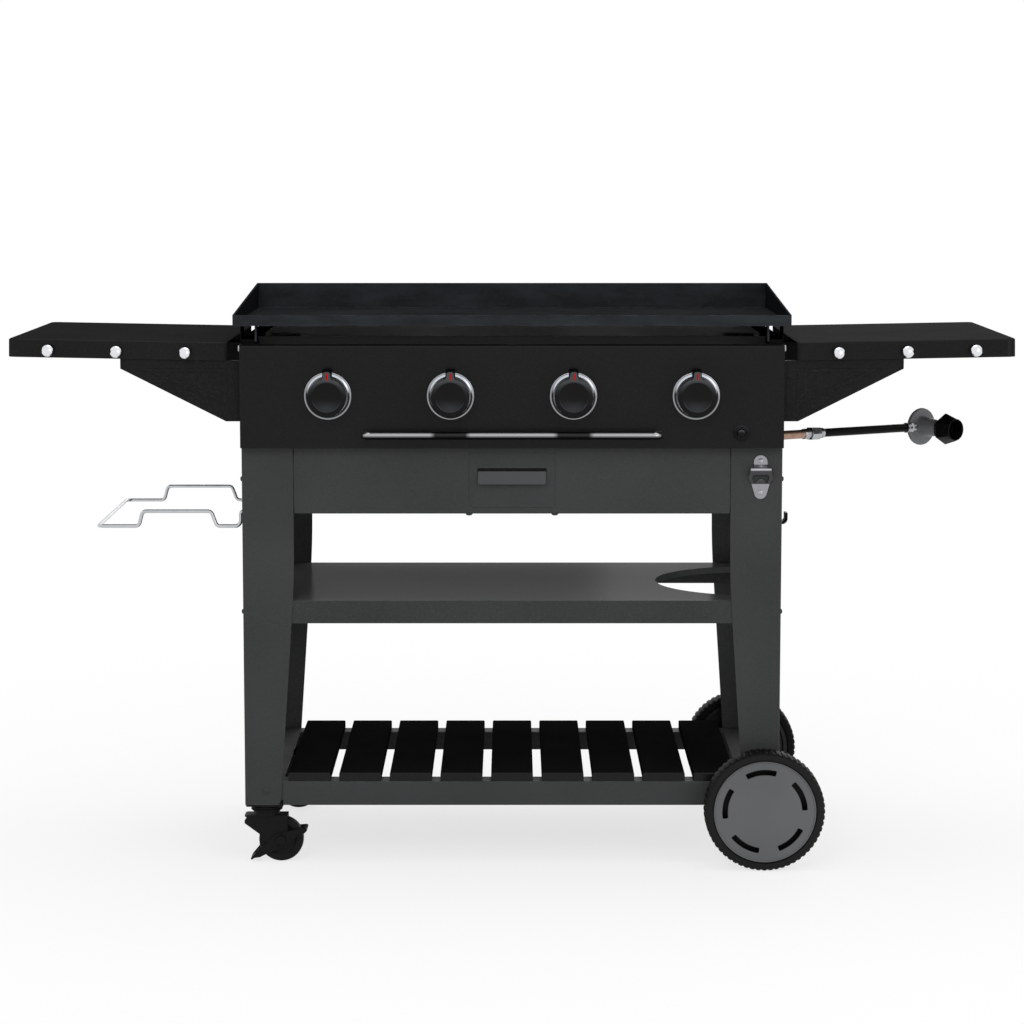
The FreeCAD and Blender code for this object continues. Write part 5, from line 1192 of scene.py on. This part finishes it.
def caster(end, way):
    """Softened fork and pedal, the wheel, and the swivel's two races."""
    name = f"caster_{end}"
    softened(f"{name}_fork", 0.5, f"{end}_swivel", "black_steel", "black_steel")
    softened(f"{name}_pedal", 0.45, f"{end}_brake", "black_steel", "black_steel")
    at = (ROLLER_X, way * CASTER_Y, ROLLER_RADIUS)
    profile = [
        (5.1, -14.0), (11.4, -14.0), (12.0, -13.4), (12.0, -10.6), (13.4, -9.8), (23.6, -9.8), (24.8, -10.2),
        (26.2, -11.7), (27.4, -12.0), (33.0, -12.0), (35.8, -11.3, 37.2, -8.0),
        (ROLLER_RADIUS, 0.0, 37.2, 8.0), (35.8, 11.3, 33.0, 12.0), (27.4, 12.0), (26.2, 11.7), (24.8, 10.2),
        (23.6, 9.8), (13.4, 9.8), (12.0, 10.6), (12.0, 13.4), (11.4, 14.0), (5.1, 14.0),
    ]
    wheel = turned(profile, at, (0, 1, 0), steps=96, ring=True)
    piece(f"{name}_tread", wheel, f"{end}_roller", "caster_tread", "caster_plastic", f"{name}_wheel")
    disc = [(0.0, 0.0), (25.8, 0.0), (26.4, 0.5), (26.4, 1.9), (25.8, 2.4), (0.0, 2.4)]
    races = [turned(disc, (SWIVEL_X, way * CASTER_Y, level), (0, 0, 1)) for level in RACE_LEVELS]
    piece(f"{name}_races", joined(*races), "cart", "black_steel", "black_steel")


# Gas inlet, regulator and hand nut

def inlet():
    """Copper pipe, and the bright collar, hexagon and ferrule that close it."""
    inner = along_pipe(-42.0)
    top = Vector((inner.x, inner.y, 741.0))
    pipe = bar_mesh("inlet", [top, inner, along_pipe(PIPE_END)], [18.0], PIPE_RADIUS)
    piece("inlet_pipe", pipe, "cart", "copper_pipe", "copper", "gas_inlet_pipe")
    collar = [
        (7.5, 0.0), (8.4, 0.5), (8.75, 1.2), (8.75, 13.8), (8.4, 14.5), (7.5, 15.0), (7.0, 15.0), (7.0, 0.0)]
    ring = turned(collar, along_pipe(PIPE_END - 15.0), PIPE_WAY, ring=True)
    nut = hex_head(along_pipe(PIPE_END), PIPE_WAY, 11.5, NUT_FLATS)
    ferrule = [
        (0.0, 0.0), (8.6, 0.0), (8.6, 3.0), (8.0, 3.4), (8.0, 5.0), (8.6, 5.4), (8.6, 9.4), (8.2, 10.0),
        (0.0, 10.0)]
    sleeve = turned(ferrule, along_pipe(PIPE_END + NUT_FLATS), PIPE_WAY)
    piece(
        "inlet_nut", joined(ring, nut, sleeve), "cart", "nickel", "copper", "gas_inlet_pipe", angle=30.0)


def hose_fitting():
    """Bright ferrule and hexagon on the hose's end, which stand in front of the disc and enter the boss."""
    ferrule = [
        (0.0, 0.0), (8.6, 0.0), (8.6, 2.0), (8.0, 2.4), (8.0, 3.2), (8.6, 3.6), (8.6, 7.6), (8.0, 8.2),
        (6.4, 8.6), (6.4, 22.0), (0.0, 22.0)]
    sleeve = turned(ferrule, along_pipe(HOSE_END), PIPE_WAY)
    hexagon = hex_head(along_pipe(HOSE_END + 9.4), PIPE_WAY, 8.6, 5.6)
    return piece(
        "hose_fitting", joined(sleeve, hexagon), "cart", "nickel", "regulator_grey", "regulator", angle=30.0)


def regulator():
    """Cast body: thin round flange with rim screws, vent cap behind and a tapered boss in front."""
    centre = along_pipe(REGULATOR_AT)
    profile = [
        (0.0, -12.0), (12.4, -12.0), (13.6, -11.4), (14.0, -9.8), (27.5, -9.5), (30.4, -9.0, 31.6, -7.4),
        (32.0, -5.9), (31.4, -5.5), (31.4, -4.9), (32.0, -4.5), (31.6, -2.6), (30.4, -1.6, 28.0, -1.4),
        (19.0, -1.2), (17.6, 0.6), (16.6, 10.0), (13.0, 39.4), (12.2, 40.4), (8.8, 40.4), (8.8, 30.0),
        (0.0, 30.0),
    ]
    shapes = [turned(profile, centre, REGULATOR_AXIS, steps=96)]
    up = Vector((0.0, 0.0, 1.0))
    across = REGULATOR_AXIS.cross(up)
    for index in range(6):
        spread_u, spread_v = polar(25.2, 60 * index + 30)
        spot = centre + up * spread_u + across * spread_v
        shapes.append(screw(spot - REGULATOR_AXIS * 9.3, -REGULATOR_AXIS, 2.6, 1.8))
    spigot = turned(
        [(0.0, 38.0), (9.0, 38.0), (9.0, 45.0), (12.0, 45.0), (12.0, 47.7), (8.0, 49.7), (7.0, 64.7),
         (0.0, 64.7)],
        centre, REGULATOR_AXIS)
    # Painted shade: the spigot inside the hand nut is black.
    piece("regulator_spigot", spigot, "cart", "painted_shade_black", "regulator_grey", "regulator", angle=34.0)
    return piece(
        "regulator_body", joined(*shapes), "cart", "cast_grey", "regulator_grey", "regulator", angle=34.0)


def hand_nut():
    """Hand wheel: a round sleeve inside a six-sided grip that flares out and narrows again."""
    start = along_pipe(REGULATOR_AT) + REGULATOR_AXIS * HAND_NUT_START
    length = HAND_NUT_LENGTH
    profile = [
        (9.08, 0.0), (15.9, 0.0), (18.9, 6.0), (18.9, length - 1.4), (18.4, length - 0.3), (17.6, length),
        (17.0, length - 0.5), (17.0, 4.0), (9.08, 4.0)]
    sleeve = turned(profile, start, REGULATOR_AXIS, steps=96, ring=True)
    level, radius = 0.8, 19.0
    bm = bmesh.new()
    corner_up = Matrix.Translation((0.0, 0.0, level)) @ Matrix.Rotation(math.radians(30), 4, "Z")
    made = bmesh.ops.create_circle(bm, cap_ends=True, radius=radius, segments=6, matrix=corner_up)
    cap = made["verts"][0].link_faces[0]
    for depth, corner in ((12.0, 27.2), (length - 2.0, 20.0)):
        extruded = bmesh.ops.extrude_face_region(bm, geom=[cap])["geom"]
        cap = [item for item in extruded if isinstance(item, bmesh.types.BMFace)][0]
        bmesh.ops.translate(bm, vec=(0.0, 0.0, depth - level), verts=cap.verts)
        bmesh.ops.scale(bm, vec=(corner / radius, corner / radius, 1.0), verts=cap.verts)
        level, radius = depth, corner
    caps = [face for face in bm.faces if abs(face.normal.z) > 0.99]
    bmesh.ops.delete(bm, geom=caps, context="FACES")
    bmesh.ops.recalc_face_normals(bm, faces=bm.faces)
    if bm.faces[0].calc_center_median().dot(bm.faces[0].normal) < 0:
        bmesh.ops.reverse_faces(bm, faces=bm.faces)
    rounded(bm, [edge for edge in bm.edges if not edge.is_boundary], 1.0)
    bmesh.ops.solidify(bm, geom=bm.faces[:], thickness=0.9)
    bmesh.ops.recalc_face_normals(bm, faces=bm.faces)
    settle(bm, start, upright(REGULATOR_AXIS))
    # Painted shade: a black disc deep inside the nut's mouth.
    floor = turned([(0.0, 5.0), (16.8, 5.0), (16.8, 6.0), (0.0, 6.0)], start, REGULATOR_AXIS, steps=48)
    piece("nut_mouth", floor, "nut", "painted_shade_black", "knob_plastic", "hand_nut", angle=34.0)
    return piece(
        "nut_wheel", joined(sleeve, bm), "nut", "hand_nut_black", "knob_plastic", "hand_nut", angle=34.0)


def upright(axis):
    """Turn that puts a shape's own Z axis along a level axis and its X axis upwards."""
    along = Vector(axis).normalized()
    top = Vector((0.0, 0.0, 1.0))
    columns = Matrix((top, along.cross(top), along))
    return columns.transposed().to_4x4()


# Screws that hold the sheets together

LEG_SIDE_X = 446.6
FOOT_SCREW = (-410.6, 234.0, 124.5)
SIDE_SCREW_Y = 222.0
SIDE_SCREW_LEVELS = (426.0, 648.0)
APRON_SCREW = (71.0, -226.0, 591.0)
WALL_BOLT = (LEG_SIDE_X, -237.0, 865.0)
OPENER_X = 410.4
OPENER_FACE = -236.2
OPENER_SCREW_LEVELS = (679.0, 627.0)


def screw_set(name, spots, finish, slot):
    """Screw heads, and their cross recesses in painted shade, from (place, axis, radius, height)."""
    heads = [screw(*spot) for spot in spots]
    crosses = [cross_recess(*spot) for spot in spots]
    piece(name, joined(*heads), "cart", finish, slot, angle=30.0)
    piece(f"{name}_recesses", joined(*crosses), "cart", "painted_shade_black", slot, angle=30.0)


def screws():
    """Domed and hexagonal heads where the photograph shows them."""
    foot_x, foot_y, foot_z = FOOT_SCREW
    apron_x, apron_y, apron_z = APRON_SCREW
    bolt_x, bolt_y, bolt_z = WALL_BOLT
    heads = [((foot_x, way * foot_y, foot_z), (0, way, 0), 6.0, 2.6) for way in (-1, 1)]
    for side in (-1, 1):
        for way in (-1, 1):
            for level in SIDE_SCREW_LEVELS:
                heads.append(((side * LEG_SIDE_X, way * SIDE_SCREW_Y, level), (side, 0, 0), 4.6, 3.0))
            heads.append(((side * apron_x, way * apron_y, apron_z), (0, 0, -1), 6.1, 3.4))
    screw_set("frame_screws", heads, "frame_grey", "frame_paint")
    bolts = [hex_head((side * bolt_x, bolt_y, bolt_z), (side, 0, 0), 5.4, 3.2) for side in (-1, 1)]
    piece("wall_bolts", joined(*bolts), "cart", "zinc", "axle_steel", angle=30.0)
    opener = [((OPENER_X, OPENER_FACE, level), (0, -1, 0), 4.2, 2.0) for level in OPENER_SCREW_LEVELS]
    screw_set("opener_screws", opener, "zinc", "axle_steel")


# Gas hose: a short stiff length that stands out level from the nut to the regulator

def gas_hose():
    curve = bpy.data.curves.new("hose", "CURVE")
    curve.dimensions = "3D"
    curve.bevel_depth = HOSE_RADIUS * MM
    curve.bevel_resolution = 8
    curve.use_fill_caps = True
    curve.resolution_u = 24
    spline = curve.splines.new("NURBS")
    stops = (NUT_END, (NUT_END + HOSE_END) / 2, HOSE_END)
    spline.points.add(len(stops) - 1)
    for point, stop in zip(spline.points, stops):
        point.co = (*(along_pipe(stop) * MM), 1.0)
    spline.order_u = 3
    spline.use_endpoint_u = True
    curve.materials.append(FINISHES["gas_hose_rubber"])
    hose = new_object("hose", curve)
    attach(hose, "cart")
    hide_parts("gas_hose")


# Floor, backdrop and lights

FLOOR_SIZE = 60.0
FLOOR_CLEAR = (0.9, 2.2)
LAMP_AIM = Vector((0.0, 0.0, 0.55))


def seen_directly(tree):
    """One for what the camera sees itself, through glass or in a mirror."""
    path = node(tree, "ShaderNodeLightPath").outputs
    seen = math_node(tree, "MAXIMUM", path["Is Camera Ray"], path["Is Glossy Ray"])
    return math_node(tree, "MAXIMUM", seen, path["Is Transmission Ray"])


def add_floor():
    """Pale floor that shows near white, and whose far part melts into the backdrop."""
    bm = bmesh.new()
    bmesh.ops.create_grid(bm, x_segments=1, y_segments=1, size=FLOOR_SIZE / 2)
    mesh = as_mesh(bm, "floor")
    material = bpy.data.materials.new("pale_floor")
    tree = emptied(material)
    pale = node(tree, "ShaderNodeBsdfDiffuse", {"Color": grey(0.95)})
    white = node(tree, "ShaderNodeEmission", {"Color": grey(1.0), "Strength": 1.0})
    place = node(tree, "ShaderNodeTexCoord").outputs["Object"]
    distance = node(tree, "ShaderNodeVectorMath", {0: place}, operation="LENGTH").outputs["Value"]
    far = spread(tree, distance, *FLOOR_CLEAR)
    near = spread(tree, far, 0.0, 1.0, 0.72, 1.0)
    share = math_node(tree, "MULTIPLY", near, seen_directly(tree))
    mix = node(tree, "ShaderNodeMixShader", {0: share, 1: pale.outputs[0], 2: white.outputs[0]})
    node(tree, "ShaderNodeOutputMaterial", {0: mix.outputs[0]})
    mesh.materials.append(material)
    new_object("floor", mesh)


def add_world():
    """Soft surrounding light, with a white backdrop where it is seen."""
    world = bpy.data.worlds.new("studio")
    scene.world = world
    tree = emptied(world)
    light = node(tree, "ShaderNodeBackground", {"Color": grey(1.0), "Strength": 0.71})
    white = node(tree, "ShaderNodeBackground", {"Color": grey(1.0), "Strength": 1.0})
    share = seen_directly(tree)
    mix = node(tree, "ShaderNodeMixShader", {0: share, 1: light.outputs[0], 2: white.outputs[0]})
    node(tree, "ShaderNodeOutputWorld", {0: mix.outputs[0]})


def add_lamp(name, at, size, power, mirrored=True):
    """Square lamp that is aimed at the cart's middle and may show in shiny faces."""
    data = bpy.data.lights.new(name, "AREA")
    data.shape = "SQUARE"
    data.size = size
    data.energy = power
    lamp = new_object(name, data)
    lamp.location = at
    lamp.rotation_euler = (LAMP_AIM - Vector(at)).to_track_quat("-Z", "Y").to_euler()
    lamp.visible_glossy = mirrored


def add_lights():
    add_lamp("key_light", (-1.2, -4.9, 3.4), 1.8, 60.0, mirrored=False)
    add_lamp("fill_light", (3.2, -4.0, 1.9), 3.0, 36.0)
    add_lamp("top_light", (0.0, 0.4, 4.2), 3.0, 34.0)
    add_lamp("rear_light", (1.6, 4.6, 2.4), 3.0, 40.0)


add_camera()
build_finishes()
finish_frame()
for count, knob_x in enumerate(BURNER_X, start=1):
    knob(count, knob_x)
bezels()
towel_bar()
igniter()
drawer_pull()
for wheel_end, side_way in ENDS:
    tyre(wheel_end, side_way)
    hub(wheel_end, side_way)
    caster(wheel_end, side_way)
inlet()
regulator_piece = regulator()
fitting_piece = hose_fitting()
nut_piece = hand_nut()
screws()
softened("bottle_opener", 0.5, "cart", "opener_zinc", "chrome")
softened("drawer_front", 0.3, "drawer", "frame_grey", "frame_paint", more=0.5)
softened("tank_hook", 0.6, "cart", "black_steel", "black_steel")
gas_hose()
add_floor()
add_world()
add_lights()
scene.view_settings.view_transform = "Standard"
